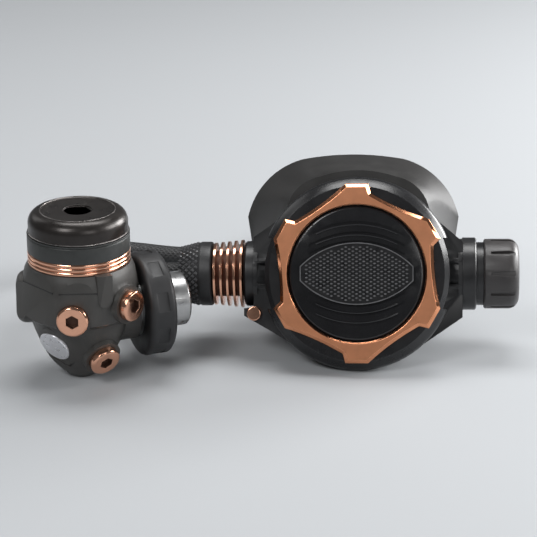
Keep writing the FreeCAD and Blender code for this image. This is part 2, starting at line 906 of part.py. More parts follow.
def inlet_parts():
    stem = new_body("inlet_stem")
    turned(stem, [
        ("stem_bore", "stem_root"),
        ("stem_radius", "stem_root"),
        ("stem_radius", "inlet_face"),
        ("stem_flange_radius", "inlet_face"),
        ("stem_flange_radius", "inlet_face + stem_flange"),
        ("stem_radius", "inlet_face + stem_flange"),
        ("stem_radius", "connector_end - stem_head - 0.3"),
        ("connector_counterbore - running_gap", "connector_end - stem_head - 0.3"),
        ("connector_counterbore - running_gap", "connector_end - 0.3"),
        ("face_ring_radius + ring_section", "connector_end - 0.3"),
        ("face_ring_radius + ring_section", "connector_end - 0.3 - ring_section"),
        ("face_ring_radius - ring_section", "connector_end - 0.3 - ring_section"),
        ("face_ring_radius - ring_section", "connector_end - 0.3"),
        ("filter_bore", "connector_end - 0.3"),
        ("filter_bore", "connector_end - 0.3 - filter_depth"),
        ("stem_bore", "connector_end - 0.3 - filter_depth"),
    ])
    piece(stem, "inlet_stem", inlet)
    seal = solid_of(
        "Torus", "face_seal", Radius1="face_ring_radius", Radius2="ring_section",
    )
    piece(seal, "connector_seal", shifted(inlet, z=size.connector_end - 0.3))
    gauze = new_body("inlet_filter")
    turned(gauze, [
        ("0", "0"),
        ("filter_bore - 0.02", "0"),
        ("filter_bore - 0.02", "filter_depth - 1.4"),
        ("0", "filter_depth - 0.4"),
    ])
    piece(gauze, "inlet_filter", shifted(inlet, z=size.connector_end - 0.3 - size.filter_depth))

    wheel = new_body("handwheel")
    turned(wheel, [
        ("hub_radius", "wheel_near"),
        ("wheel_radius - wheel_round", "wheel_near"),
        ("wheel_radius", "wheel_near + wheel_round"),
        ("wheel_radius", "wheel_far - wheel_round"),
        ("wheel_radius - wheel_round", "wheel_far"),
        ("hub_radius + 3", "wheel_far"),
        ("hub_radius + 2", "wheel_far - 1"),
        ("hub_radius", "wheel_far - 1"),
    ], {1: "wheel_round", 3: "wheel_round"})
    middle = "(wheel_near + wheel_far) / 2"
    recess_sketch = new_sketch(wheel, "YZ_Plane", "wheel_radius - wheel_recess_depth")
    draw(recess_sketch, [
        ("wheel_recess_width / 2", f"{middle} - wheel_recess_length / 2"),
        ("wheel_recess_width / 2", f"{middle} + wheel_recess_length / 2"),
        ("-wheel_recess_width / 2", f"{middle} + wheel_recess_length / 2"),
        ("-wheel_recess_width / 2", f"{middle} - wheel_recess_length / 2"),
    ])
    recess = add(wheel, "Pocket", recess_sketch, Length="5", Reversed=True)
    pattern = repeated(wheel, [recess], "wheel_recesses")
    pattern.Axis = (wheel.Origin.OriginFeatures[2], [""])
    piece(wheel, "handwheel", inlet)

    connector = new_body("din_connector")
    turned(connector, [
        ("stem_radius + running_gap", "inlet_face + stem_flange + running_gap"),
        ("hub_radius", "inlet_face + stem_flange + running_gap"),
        ("hub_radius", "wheel_far"),
        ("connector_radius", "wheel_far"),
        ("connector_radius", "connector_end - connector_edge"),
        ("connector_radius - connector_edge", "connector_end"),
        ("connector_counterbore", "connector_end"),
        ("connector_counterbore", "connector_end - stem_head - 0.3 - running_gap"),
        ("stem_radius + running_gap", "connector_end - stem_head - 0.3 - running_gap"),
    ])
    piece(connector, "cylinder_connector", inlet)


# Second stage case and front

LEFT_SHOULDER = [
    (-34.4, 22.3), (-44.2, 15.5), (-44.2, -14.3), (-48.3, -14.9), (-48.3, -18.0), (-36.0, -25.0), (-21.5, -34.0),
]
RIGHT_SHOULDER = [(24.0, -32.6), (38.5, -22.6), (44.4, -18.5), (44.4, 13.5), (34.7, 21.8)]


def case_outside(body):
    """The bowl, with a housing at each side for the valve barrel, and the side shoulders."""
    turned(body, [
        ("0", "-case_depth"),
        ("case_back_radius", "-case_depth"),
        ("case_low_radius", "-case_low_depth"),
        ("case_shoulder_radius", "-case_shoulder_depth"),
        ("case_rim_radius", "-ring_back"),
        ("0", "-ring_back"),
    ], {1: "18", 2: "48"})
    side = draw_circle(
        new_sketch(body, "YZ_Plane", "-side_reach"), "side_radius - side_groove", "0", "-inlet_depth",
    )
    add(body, "Pad", side, Length="2 * side_reach")
    for start in ("-side_reach", "side_reach - side_lip"):
        lip = draw_circle(new_sketch(body, "YZ_Plane", start), "side_radius", "0", "-inlet_depth")
        add(body, "Pad", lip, Length="side_lip")
    corners = [(str(x), str(y)) for x, y in LEFT_SHOULDER + RIGHT_SHOULDER]
    shoulders = draw(new_sketch(body, lift="-shoulder_back"), corners)
    add(body, "Pad", shoulders, Length="shoulder_back - shoulder_front")


def case_rib(body, place, side):
    """A small rib on the front of a side housing."""
    x = f"{side} * (ring_side + side_reach) / 2"
    sketch = new_sketch(body, lift="-inlet_depth + 4")
    reach = "((side_reach - ring_side) / 2 - 0.3)"
    draw(sketch, [
        (f"{x} - {reach}", f"{place} * rib_spacing - rib_width / 2"),
        (f"{x} + {reach}", f"{place} * rib_spacing - rib_width / 2"),
        (f"{x} + {reach}", f"{place} * rib_spacing + rib_width / 2"),
        (f"{x} - {reach}", f"{place} * rib_spacing + rib_width / 2"),
    ])
    add(body, "Pad", sketch, Length=f"sqrt(side_radius^2 - ({place} * rib_spacing)^2) - 4 + rib_rise")


def case():
    body = new_body("second_stage_case")
    case_outside(body)
    for side in (-1, 1):
        for place in (-0.5, 0.5):
            case_rib(body, place, side)
    tube_points, tube_bends = rounded_box("mouth_width", "mouth_height", "mouth_height / 2 - 0.5", y="mouth_y")
    tube = draw(new_sketch(body, lift="-mouth_end"), tube_points, tube_bends)
    add(body, "Pad", tube, Length="mouth_end - case_depth + 2")
    port = draw_circle(new_sketch(body, "XZ_Plane", "-exhaust_top"), "exhaust_radius", "0", "-exhaust_depth")
    add(body, "Pad", port, Length="exhaust_top / 2")

    turned_away(body, [
        ("0", "-case_depth + case_wall"),
        ("case_back_radius - 1", "-case_depth + case_wall"),
        ("case_low_radius - case_wall", "-case_low_depth + 1"),
        ("case_shoulder_radius - case_wall", "-case_shoulder_depth"),
        ("case_rim_radius - case_wall", "-ring_back"),
        ("0", "-ring_back"),
    ], {1: "18", 2: "48"})
    ring_edge = "sqrt(ring_side^2 - side_radius^2)"
    ring_room = draw(new_sketch(body, lift="-ring_back"), [
        (ring_edge, "-side_radius"),
        (ring_edge, "side_radius"),
        (f"-{ring_edge}", "side_radius"),
        (f"-{ring_edge}", "-side_radius"),
    ], {0: "ring_side", 2: "ring_side"})
    add(body, "Pocket", ring_room, Length="ring_back", Reversed=True)
    bore = draw_circle(
        new_sketch(body, "YZ_Plane", "-side_reach - 5"), "barrel_radius + thread_gap", "0", "-inlet_depth",
    )
    add(body, "Pocket", bore, Length="2 * side_reach + 10", Reversed=True)
    mouth_points, mouth_bends = rounded_box(
        "mouth_width - 2 * case_wall", "mouth_height - 2 * case_wall", "mouth_height / 2 - case_wall - 0.5",
        y="mouth_y",
    )
    mouth = draw(new_sketch(body, lift="-mouth_end"), mouth_points, mouth_bends)
    add(body, "Pocket", mouth, Length="mouth_end - case_depth + case_wall + 1", Reversed=True)
    for number in range(int(size.exhaust_holes)):
        turn = f"45 + {number} * 360 / exhaust_holes"
        hole = draw_circle(
            new_sketch(body, "XZ_Plane", "-exhaust_top"), "exhaust_hole",
            f"exhaust_hole_circle * cos({turn})", f"-exhaust_depth + exhaust_hole_circle * sin({turn})",
        )
        add(body, "Pocket", hole, Length="exhaust_top / 2", Reversed=True)
    stem = draw_circle(new_sketch(body, "XZ_Plane", "-exhaust_top"), "1.3", "0", "-exhaust_depth")
    add(body, "Pocket", stem, Length="exhaust_top / 2", Reversed=True)
    pin = draw_circle(new_sketch(body, lift="-shoulder_front"), "1.5", "button_x", "button_y")
    add(body, "Pocket", pin, Length="6")
    piece(body, "second_stage_case", face)


def cover_ring():
    """The rounded black ring round the front, slimmer where the side housings pass."""
    body = new_body("cover_ring")
    turned(body, [
        ("cover_hole", "ring_front - lip_thickness"),
        ("guard_radius + 0.1", "ring_front - lip_thickness"),
        ("guard_radius + 0.1", "-ring_back + membrane_thickness"),
        ("case_rim_radius + 0.1", "-ring_back + membrane_thickness"),
        ("case_rim_radius + 0.1", "-ring_back"),
        ("ring_back_radius", "-ring_back"),
        ("ring_radius", "0"),
        ("ring_radius - 1.1", "ring_front - 3.0"),
        ("ring_radius - 4.0", "ring_front"),
        ("cover_hole", "ring_front"),
    ], {5: "ring_round", 6: "ring_round"})
    for side in (-1, 1):
        inner = f"{side} * sqrt(ring_side^2 - side_radius^2)"
        outer = f"{side} * (ring_radius + 3)"
        left, right = (inner, outer) if side > 0 else (outer, inner)
        slim = draw(new_sketch(body, lift="-ring_back - 1"), [
            (left, "-side_radius"),
            (right, "-side_radius"),
            (right, "side_radius"),
            (left, "side_radius"),
        ], {3 if side > 0 else 1: "-ring_side"})
        add(body, "Pocket", slim, Length="ring_front + ring_back + 5", Reversed=True)
    piece(body, "cover_ring", face)


def bezel():
    """The pinwheel bezel: six arms, each with a step down on its clockwise side."""
    body = new_body("bezel")
    points = []
    bends = {}
    for arm in range(int(size.bezel_arms)):
        middle = f"90 + {arm} * 360 / bezel_arms"
        for radius, offset in (
            ("bezel_step_radius", "-bezel_step_angle"),
            ("bezel_corner_radius", "-bezel_corner_angle"),
            ("bezel_corner_radius", "+ bezel_corner_angle"),
        ):
            angle = f"({middle} {offset})"
            points.append((f"{radius} * cos{angle}", f"{radius} * sin{angle}"))
        bends[len(points) - 1] = "-bezel_hollow"
    sketch = draw(new_sketch(body, lift="ring_front"), points, bends)
    plate = add(body, "Pad", sketch, Length="bezel_thickness")
    name = top_face(plate)
    edge = body.newObject("PartDesign::Chamfer", "bezel_edge")
    edge.Base = (plate, [name])
    edge.setExpression("Size", bound("bezel_edge"))
    hole = draw_circle(new_sketch(body, lift="ring_front + bezel_thickness"), "cover_hole")
    add(body, "Pocket", hole, Length="bezel_thickness")
    front = "ring_front + bezel_thickness"
    turned_away(body, [
        ("cover_hole - 0.1", f"{front} - bezel_inner_edge - 0.1"),
        ("cover_hole + bezel_inner_edge + 0.1", f"{front} + 0.1"),
        ("cover_hole - 0.1", f"{front} + 0.1"),
    ])
    piece(body, "bezel", face)


def label_outline():
    """The long label field: two shallow arcs between two short upright ends."""
    points = [
        ("label_length / 2", "-label_end / 2"),
        ("label_length / 2", "label_end / 2"),
        ("-label_length / 2", "label_end / 2"),
        ("-label_length / 2", "-label_end / 2"),
    ]
    return points, {1: "label_arc", 3: "label_arc"}


def purge_cover():
    """The domed button that the diver presses, with a boss that reaches the diaphragm."""
    body = new_body("purge_cover")
    back = "(ring_front - lip_thickness - 0.1 - cover_flange)"
    side = "(cover_hole - cover_gap)"
    edge_height = "(label_floor + cover_edge - 1.1)"
    turned(body, [
        ("0", "-ring_back + membrane_thickness + 0.1"),
        ("cover_boss_radius", "-ring_back + membrane_thickness + 0.1"),
        ("cover_boss_radius", "label_floor - cover_wall"),
        ("cover_skirt_radius", "label_floor - cover_wall"),
        ("cover_skirt_radius", back),
        ("cover_flange_radius", back),
        ("cover_flange_radius", f"{back} + cover_flange"),
        (side, f"{back} + cover_flange"),
        (side, f"{edge_height} - cover_edge"),
        (f"{side} - cover_edge", edge_height),
        ("0", f"{edge_height} + cover_dome - sqrt(cover_dome^2 - ({side} - cover_edge)^2)"),
    ], {8: "cover_edge", 9: "cover_dome"})
    for apex, facing in ((21.9, 1), (17.6, 1), (13.9, 1), (-13.9, -1), (-17.8, -1), (-21.9, -1)):
        radius = "crease_radius"
        sink = f"({radius} - sqrt({radius}^2 - crease_half^2))"
        outer = f"{apex} - {facing} * {sink}"
        inner = f"{apex} - {facing} * ({sink} + crease_width)"
        half = "crease_half"
        if facing > 0:
            points = [(f"-{half}", inner), (half, inner), (half, outer), (f"-{half}", outer)]
            bends = {0: f"-{radius}", 2: radius}
        else:
            points = [(half, inner), (f"-{half}", inner), (f"-{half}", outer), (half, outer)]
            bends = {0: f"-{radius}", 2: radius}
        crease = draw(new_sketch(body, lift="label_floor + 5"), points, bends)
        add(body, "Pocket", crease, Length="label_floor + 5 - crease_floor")
    field = draw(new_sketch(body, lift="label_floor + 5"), *label_outline())
    add(body, "Pocket", field, Length="5")
    piece(body, "purge_cover", face)

    label = new_body("label_plate")
    plate = draw(new_sketch(label, lift="label_floor"), *label_outline())
    add(label, "Pad", plate, Length="label_thickness")
    piece(label, "label_plate", face)


def front_works():
    """What lies under the button: its spring, a guard, and the diaphragm with its plate."""
    back = "-ring_back + membrane_thickness"
    guard = new_body("diaphragm_guard")
    turned(guard, [
        ("cover_boss_radius + 0.3", back),
        ("guard_radius", back),
        ("guard_radius", f"{back} + guard_thickness"),
        ("cover_boss_radius + 0.3", f"{back} + guard_thickness"),
    ])
    hole = draw_circle(
        new_sketch(guard, lift=f"{back} + guard_thickness"), "guard_hole", "guard_radius * 0.5",
    )
    repeated(guard, [add(guard, "Pocket", hole, Length="guard_thickness")], "guard_holes")
    piece(guard, "diaphragm_guard", face)

    spring_floor = f"({back} + guard_thickness)"
    coil(
        "purge_spring", shifted(face, z=figure(spring_floor)), "cover_coil_radius", "cover_wire",
        "cover_turns", f"label_floor - cover_wall - {spring_floor}",
    )
    membrane = new_body("diaphragm")
    turned(membrane, [
        ("0", f"{back} - membrane_web"),
        ("plate_radius + 4", f"{back} - membrane_web"),
        ("plate_radius + 6", f"{back} - membrane_web - 1.4"),
        ("plate_radius + 10", f"{back} - membrane_web - 1.4"),
        ("plate_radius + 12", f"{back} - membrane_web"),
        ("case_rim_radius - case_wall - 1.5", f"{back} - membrane_web"),
        ("case_rim_radius - case_wall - 1.5", "-ring_back"),
        ("membrane_radius", "-ring_back"),
        ("membrane_radius", back),
        ("plate_radius + 12.5", back),
        ("plate_radius + 10.5", f"{back} - 1.4"),
        ("plate_radius + 5.5", f"{back} - 1.4"),
        ("plate_radius + 3.5", back),
        ("0", back),
    ])
    piece(membrane, "diaphragm", face)
    plate = new_body("diaphragm_plate")
    turned(plate, [
        ("0", f"{back} - membrane_web - plate_thickness"),
        ("plate_radius - 0.4", f"{back} - membrane_web - plate_thickness"),
        ("plate_radius", f"{back} - membrane_web - plate_thickness + 0.4"),
        ("plate_radius", f"{back} - membrane_web"),
        ("0", f"{back} - membrane_web"),
    ])
    piece(plate, "diaphragm_plate", face)


# Second stage valve

def along_barrel(label, points, bends=None):
    body = new_body(label)
    turned(body, points, bends)
    return piece(body, label, barrel)


def lever():
    """A pressed lever: its tip under the diaphragm plate, its forked foot in the barrel."""
    body = new_body("demand_lever")
    top = "(-ring_back + membrane_thickness - membrane_web - plate_thickness - 0.05)"
    pivot_height = "(-inlet_depth + barrel_radius + pivot_radius + 0.1)"
    foot = f"({pivot_height} - lever_foot)"
    sketch = new_sketch(body, "XZ_Plane", "-lever_width / 2")
    draw(sketch, [
        ("-lever_tip", f"{top} - lever_thickness"),
        ("pivot_place - 3", f"{pivot_height} - 0.7"),
        ("pivot_place - 1.4", foot),
        ("pivot_place - 0.3", foot),
        ("pivot_place - 0.3", f"{foot} + 1.8"),
        ("pivot_place + pivot_radius", pivot_height),
        ("pivot_place", f"{pivot_height} + pivot_radius"),
        ("pivot_place - 3", f"{pivot_height} + 0.8"),
        ("-lever_tip", top),
    ], {5: "pivot_radius * 1.0001"})
    add(body, "Pad", sketch, Length="lever_width")
    fork = new_sketch(body, lift=f"{pivot_height} - 1.5")
    draw(fork, *rounded_box("12", "lever_fork", "0.4", x="pivot_place"))
    add(body, "Pocket", fork, Length="lever_foot")
    waist_points, waist_bends = rounded_box("12", "3", "0.5", x="(pivot_place - lever_tip) / 2 - 3.5", y="lever_width / 2 + 0.2")
    waist = draw(new_sketch(body, lift="0"), waist_points, waist_bends)
    add(body, "Pocket", waist, Length="20")
    other = draw(new_sketch(body, lift="0"), *rounded_box(
        "12", "3", "0.5", x="(pivot_place - lever_tip) / 2 - 3.5", y="-lever_width / 2 - 0.2",
    ))
    add(body, "Pocket", other, Length="20")
    piece(body, "demand_lever", face)


def valve_parts():
    barrel_body = new_body("valve_barrel")
    turned(barrel_body, [
        ("barrel_bore", "-barrel_left"),
        ("barrel_radius", "-barrel_left"),
        ("barrel_radius", "barrel_right"),
        ("barrel_bore", "barrel_right"),
    ])
    slot = new_sketch(barrel_body, "YZ_Plane", "-barrel_radius - 1")
    draw(slot, [
        ("lever_width / 2 + slot_gap", "pivot_place - slot_left"),
        ("lever_width / 2 + slot_gap", "pivot_place + slot_right"),
        ("-lever_width / 2 - slot_gap", "pivot_place + slot_right"),
        ("-lever_width / 2 - slot_gap", "pivot_place - slot_left"),
    ])
    add(barrel_body, "Pocket", slot, Length="barrel_radius - 1", Reversed=True)
    outlet = new_sketch(barrel_body, "YZ_Plane", "barrel_radius + 1")
    draw(outlet, *rounded_box("7", "12", "2", y="-12"))
    add(barrel_body, "Pocket", outlet, Length="barrel_radius - 2")
    piece(barrel_body, "valve_barrel", barrel)

    along_barrel("orifice", [
        ("orifice_hole", "-seat_place - orifice_length"),
        ("orifice_radius", "-seat_place - orifice_length"),
        ("orifice_radius", "-seat_place - 1.5"),
        ("orifice_hole + 1.6", "-seat_place - 1.5"),
        ("orifice_hole + 0.4", "-seat_place"),
        ("orifice_hole", "-seat_place"),
    ])
    along_barrel("demand_poppet", [
        ("0", "-seat_place + 0.05"),
        ("valve_head_radius", "-seat_place + 0.05"),
        ("valve_head_radius", "-seat_place + valve_head_length"),
        ("valve_stem_radius", "-seat_place + valve_head_length"),
        ("valve_stem_radius", "pivot_place - 0.2"),
        ("valve_flange_radius", "pivot_place - 0.2"),
        ("valve_flange_radius", "pivot_place - 0.2 + valve_flange_length"),
        ("valve_stem_radius + 0.8", "pivot_place - 0.2 + valve_flange_length"),
        ("valve_stem_radius + 0.8", "pivot_place - 0.2 + valve_flange_length + valve_tail"),
        ("0", "pivot_place - 0.2 + valve_flange_length + valve_tail"),
    ])
    spring_start = "(pivot_place - 0.2 + valve_flange_length)"
    coil(
        "demand_spring", shifted(barrel, z=figure(spring_start)), "valve_coil_radius", "valve_wire",
        "valve_turns", "valve_spring_length",
    )
    tuner_start = f"({spring_start} + valve_spring_length)"
    tuner = new_body("breathing_adjuster")
    turned(tuner, [
        ("0", tuner_start),
        ("barrel_bore - running_gap", tuner_start),
        ("barrel_bore - running_gap", f"{tuner_start} + tuner_length"),
        ("0", f"{tuner_start} + tuner_length"),
    ])
    socket = draw(new_sketch(tuner, lift=f"{tuner_start} + tuner_length"), polygon(6, "tuner_hex + 0.2"))
    add(tuner, "Pocket", socket, Length="tuner_length - 1")
    piece(tuner, "breathing_adjuster", barrel)

    knob = new_body("adjusting_knob")
    turned(knob, [
        ("0", "barrel_right - 6"),
        ("barrel_bore - running_gap", "barrel_right - 6"),
        ("barrel_bore - running_gap", "knob_left + 1"),
        ("knob_radius - knob_wall", "knob_left + 1"),
        ("knob_radius - knob_wall", "knob_left"),
        ("knob_radius - 0.6", "knob_left"),
        ("knob_radius", "knob_left + 0.6"),
        ("knob_radius", "knob_right - knob_round"),
        ("knob_radius - knob_round", "knob_right"),
        ("0", "knob_right"),
    ], {7: "knob_round"})
    shaft = draw(new_sketch(knob, lift=f"{tuner_start} + 3"), polygon(6, "tuner_hex"))
    add(knob, "Pad", shaft, Length=f"barrel_right - 6 - {tuner_start} - 3")
    slot = new_sketch(knob, "YZ_Plane", "knob_radius - knob_slot_depth")
    draw(slot, [
        ("knob_slot_width / 2", "knob_right - knob_round - knob_slot_length"),
        ("0.8 * knob_slot_width", "knob_right + 1"),
        ("-0.8 * knob_slot_width", "knob_right + 1"),
        ("-knob_slot_width / 2", "knob_right - knob_round - knob_slot_length"),
    ])
    cut = add(knob, "Pocket", slot, Length="5", Reversed=True)
    pattern = repeated(knob, [cut], "knob_slots")
    pattern.Axis = (knob.Origin.OriginFeatures[2], [""])
    piece(knob, "adjusting_knob", barrel)

    along_barrel("knob_collar", [
        ("barrel_radius", "side_reach"),
        ("collar_outer", "side_reach"),
        ("collar_outer", "collar_right - 0.6"),
        ("collar_outer - 0.6", "collar_right"),
        ("groove_radius", "collar_right"),
        ("groove_radius", "knob_left - running_gap"),
        ("barrel_radius", "knob_left - running_gap"),
    ])


# Second stage inlet

def inlet_side():
    along_barrel("inlet_neck", [
        ("barrel_radius + thread_gap", "-neck_left"),
        ("neck_outer - neck_lip", "-neck_left"),
        ("neck_outer", "-neck_left + neck_lip"),
        ("neck_outer", "-side_reach"),
        ("barrel_radius + thread_gap", "-side_reach"),
    ])
    along_barrel("inlet_tube", [
        ("inlet_tube_bore", "-inlet_tube_end"),
        ("inlet_tube_radius", "-inlet_tube_end"),
        ("inlet_tube_radius", "-neck_left"),
        ("barrel_radius", "-neck_left"),
        ("barrel_radius", "-barrel_left"),
        ("inlet_tube_bore", "-barrel_left"),
    ])
    points = [("inlet_tube_radius", "-fin_left")]
    gap = "(fin_left - neck_left - fins * fin_pitch + fin_pitch - fin_thickness) / 2"
    for fin in range(int(size.fins)):
        start = f"(-fin_left + {gap} + {fin} * fin_pitch)"
        rim = f"(fin_small + {fin} * (fin_large - fin_small) / (fins - 1))"
        points += [
            ("fin_core", f"{start} - 0.2"),
            (rim, start),
            (rim, f"{start} + fin_thickness"),
            ("fin_core", f"{start} + fin_thickness + 0.2"),
        ]
    points.insert(1, ("fin_core", "-fin_left"))
    points += [("fin_core", "-neck_left"), ("inlet_tube_radius", "-neck_left")]
    along_barrel("heat_exchanger", points)

    ferrule = new_body("hose_ferrule")
    turned(ferrule, [
        ("0", "-ferrule_left"),
        ("ferrule_radius", "-ferrule_left"),
        ("ferrule_radius", "-fin_left - 8"),
        ("ferrule_radius + 1", "-fin_left - 8"),
        ("ferrule_radius + 1", "-fin_left"),
        ("inlet_tube_radius", "-fin_left"),
        ("inlet_tube_radius", "-inlet_tube_end"),
        ("inlet_tube_bore", "-inlet_tube_end"),
        ("inlet_tube_bore", "-ferrule_left + 2"),
        ("0", "-ferrule_left + 2"),
    ])
    piece(ferrule, "hose_ferrule", barrel)
    along_barrel("hose_sleeve", [
        ("0", "-sleeve_left"),
        ("sleeve_small - sleeve_round", "-sleeve_left"),
        ("sleeve_small", "-sleeve_left + sleeve_round"),
        ("sleeve_large - 0.25", "-fin_left - sleeve_band"),
        ("sleeve_large", "-fin_left - sleeve_band + 0.4"),
        ("sleeve_large", "-fin_left - 0.6"),
        ("sleeve_large - 0.6", "-fin_left"),
        ("ferrule_radius + 1", "-fin_left"),
        ("ferrule_radius + 1", "-fin_left - 8"),
        ("ferrule_radius", "-fin_left - 8"),
        ("ferrule_radius", "-ferrule_left"),
        ("0", "-ferrule_left"),
    ], {1: "sleeve_round"})


# Second stage outside

def lock_button():
    body = new_body("lock_button")
    turned(body, [
        ("0", "-5"),
        ("1.5", "-5"),
        ("1.5", "0"),
        ("button_radius", "0"),
        ("button_radius", "button_rise - 0.6"),
        ("button_radius - 0.6", "button_rise"),
        ("0", "button_rise"),
    ], {4: "0.6"})
    piece(body, "lock_button", shifted(face, size.button_x, size.button_y, -size.shoulder_front))


def exhaust_valve():
    """A thin mushroom valve over the holes in the case's exhaust port."""
    body = new_body("exhaust_valve")
    turned(body, [
        ("0", "-5"),
        ("1.1", "-5"),
        ("1.1", "0"),
        ("exhaust_valve_radius", "0"),
        ("exhaust_valve_radius", "exhaust_valve_thickness / 2"),
        ("2", "exhaust_valve_thickness"),
        ("0", "exhaust_valve_thickness"),
    ])
    place = shifted(face, 0, size.exhaust_top, -size.exhaust_depth, Rotation(RIGHT, -90))
    piece(body, "exhaust_valve", place)


# The deflector's outline at three depths: how far it leans to the left, then the half width and height of
# its foot, side and shoulder, and the height of its top
DEFLECTOR_ROOT = (0.0, 33.0, 13.0, 30.0, 29.0, 16.0, 41.3, 44.0)
DEFLECTOR_WAIST = (0.8, 36.5, 13.0, 33.5, 31.0, 18.0, 43.4, 46.3)
DEFLECTOR_RIM = (3.0, 44.6, 14.0, 46.3, 25.0, 22.0, 50.4, 52.4)
DEFLECTOR_ROUND = 0.95


def deflector_outline(section, inset):
    """A wide arch with an open foot, drawn in a little by the wall where it is hollowed."""
    lean, foot, foot_height, side, side_height, shoulder, shoulder_height, top = section
    points = [
        (f"{foot} - {lean} - {inset}", f"{foot_height}"),
        (f"{side} - {lean} - {inset}", f"{side_height}"),
        (f"{shoulder} - {lean}", f"{shoulder_height} - {inset}"),
        (f"-{shoulder} - {lean}", f"{shoulder_height} - {inset}"),
        (f"-{side} - {lean} + {inset}", f"{side_height}"),
        (f"-{foot} - {lean} + {inset}", f"{foot_height}"),
    ]
    rise = top - shoulder_height
    crown = (shoulder**2 + rise**2) / (2 * rise)
    bend = DEFLECTOR_ROUND * math.hypot(side - shoulder, shoulder_height - side_height)
    return points, {1: str(round(bend, 1)), 2: str(round(crown, 1)), 3: str(round(bend, 1))}


def deflector_loft(body, kind, sections, depths, inset):
    sketches = [
        draw(new_sketch(body, lift=depth), *deflector_outline(section, inset))
        for section, depth in zip(sections, depths)
    ]
    return add(body, kind, sketches[0], Sections=sketches[1:], Ruled=False)


def exhaust_deflector():
    """The wide flared hood behind the ring's top, open to the back at both sides."""
    body = new_body("deflector_shell")
    sections = (DEFLECTOR_ROOT, DEFLECTOR_WAIST, DEFLECTOR_RIM)
    deflector_loft(
        body, "AdditiveLoft", sections, ("-deflector_front", "-deflector_waist", "-deflector_back"), "0",
    )
    deflector_loft(body, "SubtractiveLoft", sections, (
        "-deflector_front - deflector_wall",
        "-deflector_waist",
        "-deflector_back + deflector_wall",
    ), "deflector_wall")
    for side in (-1, 1):
        outlet = draw(new_sketch(body, lift="-deflector_back"), *rounded_box(
            "outlet_width", "outlet_height", "4",
            x=f"{side} * outlet_place - outlet_lean", y="outlet_low + outlet_height / 2",
        ))
        add(body, "Pocket", outlet, Length="deflector_wall + 4", Reversed=True)
    envelope = new_body("case_envelope")
    case_outside(envelope)
    port = draw_circle(new_sketch(envelope, "XZ_Plane", "-exhaust_top"), "exhaust_radius", "0", "-exhaust_depth")
    add(envelope, "Pad", port, Length="exhaust_top / 2")
    ring_room = new_body("ring_room")
    turned(ring_room, [
        ("0", "-ring_back - 0.2"),
        ("ring_radius + 0.3", "-ring_back - 0.2"),
        ("ring_radius + 0.3", "ring_front"),
        ("0", "ring_front"),
    ])
    shell = cut_away("deflector", body, [envelope, ring_room])
    piece(shell, "exhaust_deflector", face)


def mouthpiece():
    """The rubber mouthpiece: a sleeve on the case's tube, a flange for the lips and two bite tabs."""
    body = new_body("mouthpiece")
    back = "(flange_depth + flange_thickness)"
    low = f"{floor_below(figure(back), size.flange_width / 4):.4f}"
    width, height = "mouth_width + 2 * piece_wall", "mouth_height + 2 * piece_wall"
    sleeve_points, sleeve_bends = rounded_box(width, height, f"({height}) / 2 - 0.5", y="mouth_y")
    sleeve = draw(new_sketch(body, lift="-flange_depth"), sleeve_points, sleeve_bends)
    add(body, "Pad", sleeve, Length="flange_depth - piece_front")
    middle, tall = f"(flange_top - {low}) / 2", f"(flange_top + {low})"
    flange_points, flange_bends = rounded_box("flange_width", tall, f"{tall} / 2 - 1", y=middle)
    flange = draw(new_sketch(body, lift=f"-{back}"), flange_points, flange_bends)
    add(body, "Pad", flange, Length="flange_thickness")
    for side in (-1, 1):
        tab = draw(new_sketch(body, lift="-tab_depth"), *rounded_box(
            "bite_width", "bite_height", "bite_height / 2 - 0.5", x=f"{side} * bite_place", y="mouth_y",
        ))
        add(body, "Pad", tab, Length=f"tab_depth - {back}")
    tube_points, tube_bends = rounded_box("mouth_width", "mouth_height", "mouth_height / 2 - 0.5", y="mouth_y")
    tube = draw(new_sketch(body, lift="-piece_front"), tube_points, tube_bends)
    add(body, "Pocket", tube, Length="mouth_end - piece_front")
    bore_points, bore_bends = rounded_box(
        "mouth_width - 2 * case_wall", "mouth_height - 2 * case_wall", "mouth_height / 2 - case_wall - 0.5",
        y="mouth_y",
    )
    bore = draw(new_sketch(body, lift="-mouth_end"), bore_points, bore_bends)
    add(body, "Pocket", bore, Length=f"{back} - mouth_end + 1")
    piece(body, "mouthpiece", face)

    strap = new_body("mouthpiece_strap")
    outer_width, outer_height = f"{width} + 2 * strap_thickness", f"{height} + 2 * strap_thickness"
    outer_points, outer_bends = rounded_box(
        outer_width, outer_height, f"({outer_height}) / 2 - 0.5", y="mouth_y",
    )
    outer = draw(new_sketch(strap, lift="-strap_place - strap_width"), outer_points, outer_bends)
    add(strap, "Pad", outer, Length="strap_width")
    inner = draw(new_sketch(strap, lift="-strap_place"), sleeve_points, sleeve_bends)
    add(strap, "Pocket", inner, Length="strap_width")
    piece(strap, "mouthpiece_strap", face)


# Hose and its port fitting

def hose_fitting():
    body = new_body("hose_fitting")
    turned(body, [
        ("2.4", "-shank_length"),
        ("port_radius", "-shank_length"),
        ("port_radius", "0"),
        ("hex_nut / 2", "0"),
        ("hex_nut / 2", "fitting_hex_length"),
        ("fitting_ferrule_radius - 1.2", "fitting_hex_length"),
        ("fitting_ferrule_radius - 1.2", "fitting_hex_length + 2"),
        ("fitting_ferrule_radius", "fitting_hex_length + 2"),
        ("fitting_ferrule_radius", "fitting_end - hose_port_seat - 0.8"),
        ("fitting_ferrule_radius - 0.8", "fitting_end - hose_port_seat"),
        ("2.4", "fitting_end - hose_port_seat"),
    ])
    nut = draw(new_sketch(body), polygon(6, "hex_nut", "90"))
    add(body, "Pad", nut, Length="fitting_hex_length")
    bore = draw_circle(new_sketch(body, lift="fitting_end - hose_port_seat"), "2.4")
    add(body, "Pocket", bore, Length="fitting_end")
    piece(body, "hose_fitting", first_stage * port_frame(HOSE_PORT))


